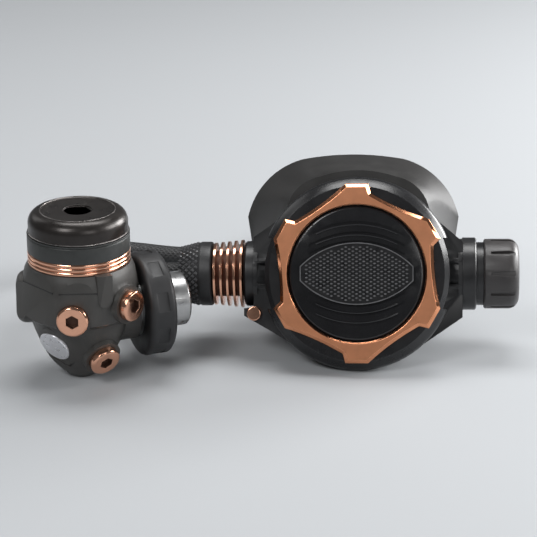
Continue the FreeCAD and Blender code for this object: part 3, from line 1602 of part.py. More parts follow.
# The hose's route from the sleeve to the port fitting, along the floor behind both stages
HOSE_ROUTE = [
    (-39.14902, 4.86545, 30.54027),
    (-48.52377, 5.50891, 30.29524),
    (-58.1, 8.4, 29.9),
    (-88.6, 26.8, 27.5),
    (-101.0, 45.5, 24.0),
    (-102.5, 70.0, 17.5),
    (-90.0, 92.0, 11.5),
    (-67.5, 103.5, 7.2),
    (-43.0, 101.0, 5.2),
    (-20.0, 104.0, 4.8),
    (-1.0, 117.5, 4.8),
    (12.0, 137.0, 4.8),
    (31.5, 151.0, 4.8),
    (55.0, 152.5, 4.8),
    (75.0, 140.0, 4.8),
    (85.0, 118.5, 4.8),
    (82.0, 94.5, 4.8),
    (66.0, 76.5, 4.8),
    (43.0, 68.5, 4.8),
    (18.0, 68.0, 4.8),
    (-7.0, 71.5, 5.2),
    (-32.0, 70.5, 6.2),
    (-55.0, 61.5, 8.5),
    (-71.0, 47.5, 11.5),
    (-79.6, 31.3, 13.0),
    (-79.6, 13.3, 13.0),
]
ARC_SHARE = 0.45


def hose():
    """A round tube on straight runs joined by arcs, each as large as its two runs allow."""
    points = [Vector(*point) for point in HOSE_ROUTE]
    runs = [stop - start for start, stop in zip(points, points[1:])]
    edges = []
    radii = []
    start = points[0]
    for corner, before, after in zip(points[1:], runs, runs[1:]):
        half_turn = before.getAngle(after) / 2
        cut = ARC_SHARE * min(before.Length, after.Length)
        radius = cut / math.tan(half_turn)
        into, out_of = before / before.Length, after / after.Length
        inward = (out_of - into).normalize()
        middle = corner + inward * (radius / math.cos(half_turn) - radius)
        edges.append(Part.LineSegment(start, corner - into * cut).toShape())
        edges.append(Part.Arc(corner - into * cut, middle, corner + out_of * cut).toShape())
        radii.append(round(radius, 1))
        start = corner + out_of * cut
    edges.append(Part.LineSegment(start, points[-1]).toShape())
    path = Part.Wire(edges)
    section = Part.Wire([Part.Circle(points[0], runs[0], size.hose_radius).toShape()])
    tube = document.addObject("Part::Feature", "hose_tube")
    tube.Shape = path.makePipeShell([section], True, False)
    piece(tube, "hose", Placement())
    expected = math.pi * size.hose_radius**2 * path.Length
    print("hose length", round(path.Length, 1), "radii", radii)
    print("hose volume", round(tube.Shape.Volume, 1), "section times length", round(expected, 1))


# Check and write

def finish():
    document.recompute()
    for thing in document.Objects:
        if "Invalid" in thing.State or "Error" in thing.State:
            raise RuntimeError(f"{thing.Name} failed: {thing.State}")
    for label, shape_object in pieces.items():
        if shape_object.Shape.isNull() or not shape_object.Shape.isValid():
            raise RuntimeError(f"{label} has no valid shape")
    os.makedirs("parts", exist_ok=True)
    for label, shape_object in pieces.items():
        shape_object.Shape.exportStep(f"parts/{label}.step")
        print(label, len(shape_object.Shape.Solids), round(shape_object.Shape.Volume, 1))


def main():
    first_stage_body()
    plugs_and_badge()
    first_stage_works()
    inlet_parts()
    case()
    cover_ring()
    bezel()
    purge_cover()
    front_works()
    lever()
    valve_parts()
    inlet_side()
    lock_button()
    exhaust_valve()
    exhaust_deflector()
    mouthpiece()
    hose_fitting()
    hose()
    finish()


main()
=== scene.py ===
import json
import math

import bmesh
import bpy
from bpy.props import FloatProperty, FloatVectorProperty, IntProperty, PointerProperty
from bpy.types import NodeSocket, Operator, Panel, PropertyGroup
from mathutils import Matrix, Vector


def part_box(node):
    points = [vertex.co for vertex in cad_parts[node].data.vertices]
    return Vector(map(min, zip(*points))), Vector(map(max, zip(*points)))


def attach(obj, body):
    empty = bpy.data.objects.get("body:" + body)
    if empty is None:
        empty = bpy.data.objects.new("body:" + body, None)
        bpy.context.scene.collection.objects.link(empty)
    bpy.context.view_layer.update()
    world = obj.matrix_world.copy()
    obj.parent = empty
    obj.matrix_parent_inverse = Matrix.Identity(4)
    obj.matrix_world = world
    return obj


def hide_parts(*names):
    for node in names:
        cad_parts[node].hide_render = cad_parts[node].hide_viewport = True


bl_info = {
    "name": "Scuba Regulator Set",
    "version": (1, 0, 0),
    "blender": (4, 5, 0),
    "location": "3D View > Sidebar > Regulator",
    "description": "Dresses a scuba regulator set: first stage, hose and second stage",
    "category": "Add Mesh",
}

# The frame, and the places that the pieces are measured from
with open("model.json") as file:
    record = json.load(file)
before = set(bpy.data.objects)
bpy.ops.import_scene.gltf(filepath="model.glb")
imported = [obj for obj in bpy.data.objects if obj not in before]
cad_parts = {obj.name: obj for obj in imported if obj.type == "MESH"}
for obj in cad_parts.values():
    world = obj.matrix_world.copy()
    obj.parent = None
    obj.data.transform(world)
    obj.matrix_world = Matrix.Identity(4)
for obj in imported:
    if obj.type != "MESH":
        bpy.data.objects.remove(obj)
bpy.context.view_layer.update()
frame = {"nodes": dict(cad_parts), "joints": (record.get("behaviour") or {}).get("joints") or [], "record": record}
nodes = frame["nodes"]
joints = {joint["name"]: joint for joint in frame["joints"]}

MM = 0.001
FULL_TURN = 2 * math.pi
UP = Vector((0, 0, 1))
HOUSING = "regulator"
BARREL_DEPTH = 17.0 * MM
RIGHT = Vector(joints["knob_turn"]["axis"]).normalized()
FRONT = -Vector(joints["purge_press"]["axis"]).normalized()
UP_FACE = FRONT.cross(RIGHT)
BARREL_MIDDLE = Vector(joints["knob_turn"]["pos_m"])


def frame_of(origin, along_x, along_y, along_z):
    """A matrix with the given axes at the given origin."""
    turn = Matrix((along_x, along_y, along_z)).transposed()
    return Matrix.Translation(origin) @ turn.to_4x4()


FACE = frame_of(BARREL_MIDDLE + FRONT * BARREL_DEPTH, RIGHT, UP_FACE, FRONT)
BARREL = frame_of(BARREL_MIDDLE, -FRONT, UP_FACE, RIGHT)
CAP_LOW, CAP_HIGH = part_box("end_cap")
FIRST_STAGE = Matrix.Translation(((CAP_LOW.x + CAP_HIGH.x) / 2, (CAP_LOW.y + CAP_HIGH.y) / 2, 0))


# Settings

class StageSettings(PropertyGroup):
    lens: FloatProperty(
        name="Lens", description="Focal length of the camera", default=139.4, min=10,
        subtype="DISTANCE_CAMERA",
    )
    elevation: FloatProperty(
        name="Elevation", description="Angle that the camera looks down at", default=math.radians(21),
        subtype="ANGLE",
    )
    distance: FloatProperty(
        name="Distance", description="From the camera to its target", default=0.867, min=0.1,
        subtype="DISTANCE", unit="LENGTH",
    )
    target: FloatVectorProperty(
        name="Target", description="Point that the camera looks at",
        default=(-0.0014, -0.02485, 0.04425), subtype="TRANSLATION", unit="LENGTH",
    )
    floor_colour: FloatVectorProperty(
        name="Floor", description="Colour of the floor and the backdrop", default=(0.38, 0.393, 0.407),
        min=0, max=1, subtype="COLOR",
    )
    floor_size: FloatProperty(
        name="Floor size", description="Side of the floor", default=12.0, min=1, subtype="DISTANCE",
        unit="LENGTH",
    )


class HoseSettings(PropertyGroup):
    diameter: FloatProperty(
        name="Diameter", description="Outer diameter of the braided hose", default=0.0095, min=0.004,
        subtype="DISTANCE", unit="LENGTH",
    )
    length: FloatProperty(
        name="Length", description="Free length between the sleeve and the port fitting", default=0.567,
        min=0.2, subtype="DISTANCE", unit="LENGTH",
    )
    braid: FloatProperty(
        name="Braid", description="Width of one strand of the braid", default=0.0011, min=0.0003,
        subtype="DISTANCE", unit="LENGTH",
    )
    sides: IntProperty(name="Sides", description="Faces round the hose", default=32, min=12, max=96)


class SleeveSettings(PropertyGroup):
    diamonds: IntProperty(name="Diamonds", description="Diamonds round the sleeve", default=32, min=8)
    rows: IntProperty(name="Rows", description="Rows of diamonds along the sleeve", default=6, min=2)
    row_pitch: FloatProperty(
        name="Row pitch", description="From one row to the next, half a diamond on", default=0.0014,
        min=0.0005, subtype="DISTANCE", unit="LENGTH",
    )
    rise: FloatProperty(
        name="Rise", description="How far a diamond stands out", default=0.0006, min=0.0,
        subtype="DISTANCE", unit="LENGTH",
    )


class FaceSettings(PropertyGroup):
    knurl: FloatProperty(
        name="Knurl", description="Pitch of the label field's knurls across", default=0.0030, min=0.001,
        subtype="DISTANCE", unit="LENGTH",
    )
    knurl_row: FloatProperty(
        name="Knurl row", description="From one row of knurls to the next", default=0.00085, min=0.0004,
        subtype="DISTANCE", unit="LENGTH",
    )
    knurl_rise: FloatProperty(
        name="Knurl rise", description="Height of a knurl", default=0.00040, min=0.0,
        subtype="DISTANCE", unit="LENGTH",
    )
    field_depth: FloatProperty(
        name="Field depth", description="From the label's rim down to its floor", default=0.00060,
        min=0.0, subtype="DISTANCE", unit="LENGTH",
    )


class FinishSettings(PropertyGroup):
    body: FloatVectorProperty(
        name="First stage", description="Coating of the first stage", default=(0.045, 0.043, 0.040),
        min=0, max=1, subtype="COLOR",
    )
    cap: FloatVectorProperty(
        name="Cap", description="Coating of the cap", default=(0.030, 0.026, 0.024),
        min=0, max=1, subtype="COLOR",
    )
    housing: FloatVectorProperty(
        name="Spring housing", description="Coating of the spring housing",
        default=(0.042, 0.044, 0.043), min=0, max=1, subtype="COLOR",
    )
    rose_gold: FloatVectorProperty(
        name="Rose gold", description="Plugs, clamp ring, fins and button", default=(0.80, 0.43, 0.29),
        min=0, max=1, subtype="COLOR",
    )
    copper: FloatVectorProperty(
        name="Bezel", description="Copper coating of the bezel", default=(0.74, 0.32, 0.17),
        min=0, max=1, subtype="COLOR",
    )
    plastic: FloatVectorProperty(
        name="Case", description="Plastic of the case and cover", default=(0.009, 0.009, 0.010),
        min=0, max=1, subtype="COLOR",
    )
    rubber: FloatVectorProperty(
        name="Rubber", description="Handwheel, sleeve and hose", default=(0.014, 0.014, 0.015),
        min=0, max=1, subtype="COLOR",
    )
    knob: FloatVectorProperty(
        name="Knob", description="Adjusting knob", default=(0.034, 0.031, 0.031),
        min=0, max=1, subtype="COLOR",
    )


SETTINGS = {
    "regulator_stage": StageSettings,
    "regulator_hose": HoseSettings,
    "regulator_sleeve": SleeveSettings,
    "regulator_face": FaceSettings,
    "regulator_finish": FinishSettings,
}


def settings(name):
    """The values of one group of settings."""
    return getattr(bpy.context.scene, "regulator_" + name)


# Finishes

CLOUD_DETAIL = 3.0
GRAIN_DETAIL = 4.0


class Finish:
    """A Principled material and the nodes that vary it. Patterns read Object coordinates, in metres."""

    def __init__(self, name, colour, roughness, metallic=0.0, **sockets):
        self.material = bpy.data.materials.new(name)
        self.material.use_nodes = True
        self.tree = self.material.node_tree
        self.shader = self.tree.nodes["Principled BSDF"]
        self.colour = tuple(colour)
        self.shader.inputs["Base Color"].default_value = (*self.colour, 1)
        self.shader.inputs["Roughness"].default_value = roughness
        self.shader.inputs["Metallic"].default_value = metallic
        for socket, value in sockets.items():
            self.shader.inputs[socket.replace("_", " ")].default_value = value
        self.normal = None

    def add(self, kind, inputs=None, **choices):
        """A node, with values or links for its inputs, by name or number."""
        node = self.tree.nodes.new("ShaderNode" + kind)
        for name, value in choices.items():
            setattr(node, name, value)
        for name, value in (inputs or {}).items():
            if isinstance(value, NodeSocket):
                self.tree.links.new(value, node.inputs[name])
            else:
                node.inputs[name].default_value = value
        return node

    def place(self, to_frame=None):
        """Object coordinates, turned into a piece's own frame."""
        coordinates = self.add("TexCoord").outputs["Object"]
        if to_frame is None:
            return coordinates
        origin, turn, _ = to_frame.decompose()
        moved = self.add("VectorMath", {0: coordinates, 1: origin}, operation="SUBTRACT").outputs[0]
        back = turn.inverted().to_euler()
        return self.add("Mapping", {"Vector": moved, "Rotation": back}).outputs[0]

    def noise(self, size, detail):
        """Noise with clouds of a size in metres."""
        inputs = {"Vector": self.place(), "Scale": 1 / size, "Detail": detail}
        return self.add("TexNoise", inputs).outputs["Fac"]

    def span(self, value, low, high, start=0.3, stop=0.7):
        """Brings a value between start and stop to a range."""
        inputs = {"Value": value, "From Min": start, "From Max": stop, "To Min": low, "To Max": high}
        return self.add("MapRange", inputs).outputs["Result"]

    def math(self, operation, first, second=0.5):
        """One step of arithmetic on values or links."""
        return self.add("Math", {0: first, 1: second}, operation=operation).outputs[0]

    def mix(self, share, dark, light):
        """Mixes the base colour from two colours."""
        made = self.add("Mix", {0: share, 6: (*dark, 1), 7: (*light, 1)}, data_type="RGBA")
        self.tree.links.new(made.outputs[2], self.shader.inputs["Base Color"])

    def mottled(self, size, amount, roughness=None):
        """Lets the colour and the roughness wander a little."""
        cloud = self.noise(size, CLOUD_DETAIL)
        dark = tuple(part * (1 - amount) for part in self.colour)
        light = tuple(min(1.0, part * (1 + amount)) for part in self.colour)
        self.mix(self.span(cloud, 0, 1), dark, light)
        if roughness:
            self.tree.links.new(self.span(cloud, *roughness), self.shader.inputs["Roughness"])
        return self

    def bump(self, height, depth):
        """Adds a relief of a depth in metres on top of what is there."""
        inputs = {"Height": height, "Distance": depth, "Strength": 1.0}
        if self.normal:
            inputs["Normal"] = self.normal
        self.normal = self.add("Bump", inputs).outputs[0]
        self.tree.links.new(self.normal, self.shader.inputs["Normal"])
        return self

    def grained(self, size, depth):
        """Adds a fine grain of a size and depth in metres."""
        return self.bump(self.noise(size, GRAIN_DETAIL), depth)


def plain(name, colour, roughness, clouds, gloss=None, grain=None, metallic=0.0, **sockets):
    """A maker of a finish without a pattern.

    The colour is a value or the name of a setting. Clouds are a size in mm and a share of the colour,
    gloss is the roughness from the darkest to the lightest cloud, and grain is a size and a depth in mm.
    """
    def make():
        base = getattr(settings("finish"), colour) if isinstance(colour, str) else colour
        finish = Finish(name, base, roughness, metallic, **sockets)
        cloud_size, share = clouds
        finish.mottled(cloud_size * MM, share, gloss)
        if grain:
            grain_size, depth = grain
            finish.grained(grain_size * MM, depth * MM)
        return finish.material

    return make


# Metals and coatings
body_coating = plain("body_coating", "body", 0.42, (6, 0.10), (0.38, 0.48), (0.25, 0.01))
housing_coating = plain(
    "housing_coating", "housing", 0.42, (4, 0.10), (0.38, 0.46), (0.3, 0.006), metallic=0.3,
)
rose_gold = plain("rose_gold", "rose_gold", 0.16, (7, 0.05), (0.13, 0.22), (1.4, 0.004), metallic=1.0)
badge_silver = plain("badge_silver", (0.80, 0.80, 0.83), 0.30, (3, 0.03), (0.26, 0.34), metallic=0.7)
steel = plain(
    "machined_steel", (0.58, 0.58, 0.60), 0.28, (2, 0.06), (0.22, 0.36), (0.15, 0.004), metallic=1.0,
)
chrome = plain("chrome", (0.46, 0.46, 0.46), 0.30, (4, 0.08), (0.26, 0.38), (0.4, 0.004), metallic=1.0)
filter_bronze = plain(
    "filter_bronze", (0.42, 0.28, 0.14), 0.6, (0.6, 0.3), grain=(0.3, 0.08), metallic=1.0,
)
# A pale colour that paints a highlight on thin edges
bright_edge = plain("bright_edge", (0.30, 0.28, 0.27), 0.28, (3, 0.2), (0.22, 0.38), metallic=0.9)

# A dull dark colour painted as shade inside the hexagon sockets and on the roots of the fins
socket_shade = plain("socket_shade", (0.10, 0.05, 0.035), 0.55, (1, 0.2), (0.5, 0.65), metallic=0.6)

# Plastics
case_plastic = plain("case_plastic", "plastic", 0.40, (8, 0.12), (0.34, 0.46), (0.35, 0.008))
ring_plastic = plain("ring_plastic", "plastic", 0.28, (9, 0.10), (0.24, 0.33), (0.6, 0.003))
cover_plastic = plain("cover_plastic", "plastic", 0.18, (9, 0.10), (0.15, 0.21), (0.5, 0.002))
label_plastic = plain("label_plastic", "plastic", 0.30, (3, 0.15), (0.26, 0.36))
knob_plastic = plain("knob_plastic", "knob", 0.42, (5, 0.12), (0.38, 0.50), (0.3, 0.010))
collar_plastic = plain("collar_plastic", "plastic", 0.36, (5, 0.12), (0.32, 0.42))
pale_plastic = plain("pale_plastic", (0.72, 0.72, 0.70), 0.4, (3, 0.04), (0.35, 0.45))

# Rubbers and silicones. The diamonds and the knurls' tops are painted paler than what they stand on, as a painted
# highlight
seal_rubber = plain("seal_rubber", (0.015, 0.015, 0.015), 0.5, (2, 0.15), (0.45, 0.6))
wheel_rubber = plain("wheel_rubber", "rubber", 0.50, (6, 0.12), (0.45, 0.58), (0.3, 0.015))
sleeve_rubber = plain("sleeve_rubber", "rubber", 0.46, (4, 0.15), (0.40, 0.54), (0.2, 0.01))
raised_rubber = plain("raised_rubber", (0.055, 0.055, 0.058), 0.34, (2, 0.2), (0.28, 0.42))
knurl_tops = plain("knurl_tops", (0.13, 0.13, 0.135), 0.40, (2, 0.2), (0.34, 0.46))
deflector_rubber = plain(
    "deflector_rubber", (0.021, 0.020, 0.019), 0.40, (12, 0.15), (0.36, 0.46), (0.5, 0.006),
)
mouthpiece_silicone = plain(
    "mouthpiece_silicone", (0.028, 0.028, 0.030), 0.38, (6, 0.12), (0.34, 0.46), (0.4, 0.006),
)
membrane_silicone = plain(
    "membrane_silicone", (0.25, 0.25, 0.26), 0.4, (3, 0.06), (0.35, 0.45), Transmission_Weight=0.3,
)

# The turning marks on the cap
TURNING_PITCH = 0.35 * MM
TURNING_DEPTH = 0.002 * MM

# The bezel's roughness on its bevels and on its face, and the cosines between which it changes
BEZEL_GLOSS = (0.12, 0.36)
BEZEL_TURN = (0.93, 0.98)

# The braid's painted shade between the strands and painted highlight on them, as a share of the colour, and its
# relief
BRAID_SHADE_AND_HIGHLIGHT = (0.5, 1.6)
BRAID_DEPTH = 0.12 * MM


def cap_coating():
    """Brown black coating on turned metal, with faint turning marks round its axis."""
    finish = Finish("cap_coating", settings("finish").cap, 0.30, 0.55)
    finish.mottled(5 * MM, 0.12, (0.27, 0.36))
    where = finish.add("SeparateXYZ", {0: finish.place(FIRST_STAGE)})
    radius = finish.add("CombineXYZ", {0: where.outputs[0], 1: where.outputs[1]})
    reach = finish.add("VectorMath", {0: radius.outputs[0]}, operation="LENGTH").outputs["Value"]
    rings = finish.math("SINE", finish.math("MULTIPLY", reach, FULL_TURN / TURNING_PITCH))
    return finish.bump(rings, TURNING_DEPTH).material


def bezel_copper():
    """Satin copper on the face, polished on the bevels."""
    finish = Finish("bezel_copper", settings("finish").copper, 0.34, 1.0)
    finish.mottled(5 * MM, 0.07)
    normal = finish.add("NewGeometry").outputs["True Normal"]
    facing = finish.add("VectorMath", {0: normal, 1: FRONT}, operation="DOT_PRODUCT").outputs["Value"]
    gloss = finish.span(facing, *BEZEL_GLOSS, *BEZEL_TURN)
    finish.tree.links.new(gloss, finish.shader.inputs["Roughness"])
    return finish.grained(0.22 * MM, 0.005 * MM).material


def hose_braid():
    """Two crossing sets of fine strands that follow the hose through its own map."""
    finish = Finish("hose_braid", settings("finish").rubber, 0.5)
    hose = settings("hose")
    strands = 2 * round(math.pi * hose.diameter / hose.braid / 2)
    where = finish.add("SeparateXYZ", {0: finish.add("UVMap", uv_map="UVMap").outputs[0]})
    along = finish.math("MULTIPLY", where.outputs[0], math.pi / hose.braid)
    round_it = finish.math("MULTIPLY", where.outputs[1], math.pi * strands)
    first = finish.math("SINE", finish.math("ADD", along, round_it))
    second = finish.math("SINE", finish.math("SUBTRACT", along, round_it))
    weave = finish.math("MAXIMUM", first, second)
    # Painted shade between the strands and a painted highlight on their tops
    dark, light = (tuple(part * shade for part in finish.colour) for shade in BRAID_SHADE_AND_HIGHLIGHT)
    finish.mix(finish.span(weave, 0, 1, 0.0, 1.0), dark, light)
    return finish.bump(weave, BRAID_DEPTH).material


# The finish of each slot
FINISHES = {
    "first_stage_metal": body_coating,
    "rose_gold": rose_gold,
    "bezel_copper": bezel_copper,
    "badge_silver": badge_silver,
    "cap_metal": cap_coating,
    "housing_metal": housing_coating,
    "steel": steel,
    "spring_steel": steel,
    "chrome": chrome,
    "filter_bronze": filter_bronze,
    "valve_plastic": pale_plastic,
    "seal_rubber": seal_rubber,
    "wheel_rubber": wheel_rubber,
    "case_plastic": case_plastic,
    "ring_plastic": ring_plastic,
    "cover_plastic": cover_plastic,
    "label_plastic": label_plastic,
    "knob_plastic": knob_plastic,
    "collar_plastic": collar_plastic,
    "sleeve_rubber": sleeve_rubber,
    "membrane_silicone": membrane_silicone,
    "deflector_rubber": deflector_rubber,
    "mouthpiece_silicone": mouthpiece_silicone,
    "hose_braid": hose_braid,
}
made_finishes = {}


def finish_from(maker):
    """The material that a function makes, made once."""
    if maker not in made_finishes:
        made_finishes[maker] = maker()
    return made_finishes[maker]


def finish_of(slot):
    """The material of a slot of the record."""
    return finish_from(FINISHES[slot])


def slot_of(node):
    """A node's slot in the record."""
    entries = frame["record"]["subparts"]
    return next(entry["material_slot"] for entry in entries if entry["node"] == node)


# Making pieces

# Doubles in a copied node and in a new piece, and the greatest bend between faces that are joined
JOIN_DISTANCE = 0.002 * MM
DOUBLE_DISTANCE = 0.0005 * MM
FLAT_ANGLE = math.radians(0.5)

# Edges sharper than this, in degrees, are rounded
EDGE_ANGLE = 30

# An oval ring's power, 2 for an ellipse and more towards a box, and its number of sides
OVAL_CORNER = 2.8
OVAL_SIDES = 48

# The least and greatest area of a socket's hexagon floor, in square millimetres
SOCKET_FLOOR_AREA = (18, 90)


def smooth(mesh, angle):
    """Smooth faces with the edges over an angle kept sharp."""
    for face in mesh.polygons:
        face.use_smooth = True
    mesh.set_sharp_from_angle(angle=math.radians(angle))


def piece(name, shape, slot, body, *replaced, place=None, angle=32):
    """Turns a bmesh into a piece with a finish, that rides on a body and may stand for nodes."""
    if place is not None:
        bmesh.ops.transform(shape, matrix=place, verts=shape.verts)
    mesh = bpy.data.meshes.new(name)
    shape.to_mesh(mesh)
    shape.free()
    smooth(mesh, angle)
    made = bpy.data.objects.new(name, mesh)
    bpy.context.scene.collection.objects.link(made)
    made.data.materials.append(finish_of(slot))
    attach(made, body)
    if replaced:
        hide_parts(*replaced)
    return made


def copy_of(node):
    """A bmesh of a node, with its triangles joined."""
    shape = bmesh.new()
    shape.from_mesh(nodes[node].data)
    bmesh.ops.remove_doubles(shape, verts=shape.verts, dist=JOIN_DISTANCE)
    bmesh.ops.dissolve_limit(shape, angle_limit=FLAT_ANGLE, verts=shape.verts, edges=shape.edges)
    return shape


def place_stud(shape, where, long, wide, rise, top, sides=4):
    """A small stud, long and wide across its foot, whose flat top is a share of its foot."""
    made = bmesh.ops.create_cone(
        shape, cap_ends=True, segments=sides, radius1=1, radius2=top, depth=1,
    )["verts"]
    size = Matrix.Diagonal((long / 2, wide / 2, rise, 1))
    bmesh.ops.transform(shape, matrix=where @ size, verts=made)


def dressed(made, maker, chosen):
    """Gives the faces that a test picks a second finish."""
    made.data.materials.append(finish_from(maker))
    last = len(made.data.materials) - 1
    for face in made.data.polygons:
        if chosen(face):
            face.material_index = last
    return made


def socket_faces(mesh):
    """The hexagon floors of the sockets, picked by their area, and the walls that stand on them."""
    low, high = SOCKET_FLOOR_AREA
    hexagons = [face for face in mesh.polygons if len(face.vertices) == 6]
    floors = [face for face in hexagons if low < face.area / MM**2 < high]
    corners = {corner for face in floors for corner in face.vertices}
    walls = {face.index for face in mesh.polygons if len(corners.intersection(face.vertices)) >= 2}
    return walls | {face.index for face in floors}


def with_painted_socket_shade(made):
    """Gives the insides of the hexagon sockets a dull dark painted shade."""
    inside = socket_faces(made.data)
    return dressed(made, socket_shade, lambda face: face.index in inside)


def body_of(node):
    """The body that a node belongs to."""
    bodies = frame["record"]["behaviour"]["bodies"]
    return next(body for body, members in bodies.items() if node in members)


def softened(node, width, segments=2, slot=None, shape=None):
    """A node's own shape with rounded edges, in its place."""
    shape = shape or copy_of(node)
    made = piece(node + "_shell", shape, slot or slot_of(node), body_of(node), node, angle=EDGE_ANGLE)
    bevel = made.modifiers.new("rounded_edges", "BEVEL")
    bevel.width = width
    bevel.segments = segments
    bevel.limit_method = "ANGLE"
    bevel.angle_limit = math.radians(EDGE_ANGLE)
    bevel.harden_normals = True
    return made


def spun(shape, outline, place, turn=FULL_TURN, steps=96):
    """Turns a line of radius and height about Z, and moves what it makes to its place."""
    line = [shape.verts.new((radius, 0, height)) for radius, height in outline]
    edges = [shape.edges.new(pair) for pair in zip(line, line[1:])]
    known = set(shape.verts) - set(line)
    bmesh.ops.spin(
        shape, geom=line + edges, cent=(0, 0, 0), axis=UP, angle=turn, steps=steps,
        use_merge=turn == FULL_TURN,
    )
    made = [vertex for vertex in shape.verts if vertex not in known]
    bmesh.ops.transform(shape, matrix=place, verts=made)


def circle_line(radius, height, section, sides=10):
    """A small circle's outline for spun, so that it makes a bead."""
    turns = [FULL_TURN * number / sides for number in range(sides + 1)]
    return [(radius + section * math.cos(turn), height + section * math.sin(turn)) for turn in turns]


def closed(shape):
    """Joins doubles and turns the faces outward."""
    bmesh.ops.remove_doubles(shape, verts=shape.verts, dist=DOUBLE_DISTANCE)
    bmesh.ops.recalc_face_normals(shape, faces=shape.faces)
    return shape


def oval_ring(shape, width, height, middle, depth, across):
    """The edges of a flat ring whose form lies between an oval and a box."""
    ring = bmesh.ops.create_circle(shape, segments=OVAL_SIDES, radius=1)["verts"]
    for vertex in ring:
        x, y = vertex.co.x, vertex.co.y
        swell = (abs(x) ** OVAL_CORNER + abs(y) ** OVAL_CORNER) ** (-1 / OVAL_CORNER)
        vertex.co = (across + x * swell * width / 2, middle + y * swell * height / 2, depth)
    return list({edge for vertex in ring for edge in vertex.link_edges})


def skin_of(shape, sections, across=0.0, closed_ends=False):
    """A skin through oval rings, given in mm as width, height, middle and depth.

    The last ring meets the first one, unless both ends are closed.
    """
    rings = [oval_ring(shape, *(value * MM for value in section), across) for section in sections]
    for first, second in zip(rings, rings[1:]):
        bmesh.ops.bridge_loops(shape, edges=first + second)
    if closed_ends:
        bmesh.ops.contextual_create(shape, geom=rings[0])
        bmesh.ops.contextual_create(shape, geom=rings[-1])
    else:
        bmesh.ops.bridge_loops(shape, edges=rings[-1] + rings[0])


def painted(*names):
    """Gives carried-over nodes their finish."""
    for name in names:
        node = nodes[name]
        node.data.materials.clear()
        node.data.materials.append(finish_of(slot_of(name)))


# Stage

SENSOR_WIDTH = 36
CLIP_NEAR, CLIP_FAR = 0.01, 50
WORLD_STRENGTH = 0.30
BACKDROP_COLOUR = (0.80, 0.82, 0.84)
FLOOR_ROUGHNESS = 0.7

# The floor's clouds: their size in metres, and how far they change its colour
FLOOR_CLOUDS = (0.5, 0.01)

# Name, place, what it points at, width and height in metres, and watts. None is the camera's target
LAMPS = (
    ("key", (-0.60, -0.85, 1.00), None, (0.45, 0.45), 8),
    ("front", (0.55, -1.05, 0.55), None, (0.5, 0.5), 2.5),
    ("side", (0.95, -0.02, 0.44), (0.03, 0, 0.04), (0.40, 0.35), 7),
    ("flank", (0.86, 0.50, 0.32), (0.05, 0.02, 0.05), (0.40, 0.35), 13),
    ("top", (0.02, 0.30, 1.05), None, (0.80, 0.40), 9),
    ("rim", (-0.75, 0.60, 0.60), None, (0.35, 0.5), 0.8),
)


def lamp(name, place, aim, size, power):
    """A soft rectangular lamp."""
    data = bpy.data.lights.new(name, "AREA")
    data.shape = "RECTANGLE"
    data.size, data.size_y = size
    data.energy = power
    made = bpy.data.objects.new(name, data)
    made.location = place
    made.rotation_euler = (Vector(aim) - Vector(place)).to_track_quat("-Z", "Y").to_euler()
    bpy.context.scene.collection.objects.link(made)


def make_camera(scene, stage):
    """The camera, which looks down at its target from the front."""
    target = Vector(stage.target)
    back = Vector((0, -math.cos(stage.elevation), math.sin(stage.elevation)))
    data = bpy.data.cameras.new("camera")
    data.lens = stage.lens
    data.sensor_width = SENSOR_WIDTH
    data.clip_start, data.clip_end = CLIP_NEAR, CLIP_FAR
    camera = bpy.data.objects.new("camera", data)
    camera.location = target + back * stage.distance
    camera.rotation_euler = (-back).to_track_quat("-Z", "Y").to_euler()
    scene.collection.objects.link(camera)
    scene.camera = camera


def make_floor(scene, stage):
    """The plain floor that the object lies on."""
    shape = bmesh.new()
    bmesh.ops.create_grid(shape, x_segments=1, y_segments=1, size=stage.floor_size / 2)
    mesh = bpy.data.meshes.new("floor")
    shape.to_mesh(mesh)
    shape.free()
    floor = bpy.data.objects.new("floor", mesh)
    finish = Finish("floor", stage.floor_colour, FLOOR_ROUGHNESS).mottled(*FLOOR_CLOUDS)
    floor.data.materials.append(finish.material)
    scene.collection.objects.link(floor)


def make_world(scene, stage):
    """A dim world for light and reflections, which the camera sees as a pale backdrop."""
    world = bpy.data.worlds.new("world")
    scene.world = world
    world.use_nodes = True
    tree = world.node_tree
    dim = tree.nodes["Background"]
    dim.inputs["Color"].default_value = (*stage.floor_colour, 1)
    dim.inputs["Strength"].default_value = WORLD_STRENGTH
    pale = tree.nodes.new("ShaderNodeBackground")
    pale.inputs["Color"].default_value = (*BACKDROP_COLOUR, 1)
    seen = tree.nodes.new("ShaderNodeLightPath").outputs["Is Camera Ray"]
    either = tree.nodes.new("ShaderNodeMixShader")
    tree.links.new(seen, either.inputs[0])
    tree.links.new(dim.outputs[0], either.inputs[1])
    tree.links.new(pale.outputs[0], either.inputs[2])
    tree.links.new(either.outputs[0], tree.nodes["World Output"].inputs["Surface"])


class REGULATOR_OT_stage(Operator):
    """Makes the camera, the lamps, the pale world and the floor."""

    bl_idname = "regulator.stage"
    bl_label = "Stage"

    def execute(self, context):
        stage = settings("stage")
        context.scene.view_settings.view_transform = "Standard"
        make_camera(context.scene, stage)
        make_floor(context.scene, stage)
        for name, place, aim, size, power in LAMPS:
            lamp(name, place, aim or stage.target, size, power)
        make_world(context.scene, stage)
        return {"FINISHED"}


# Hose

STEPS_PER_RUN = 12

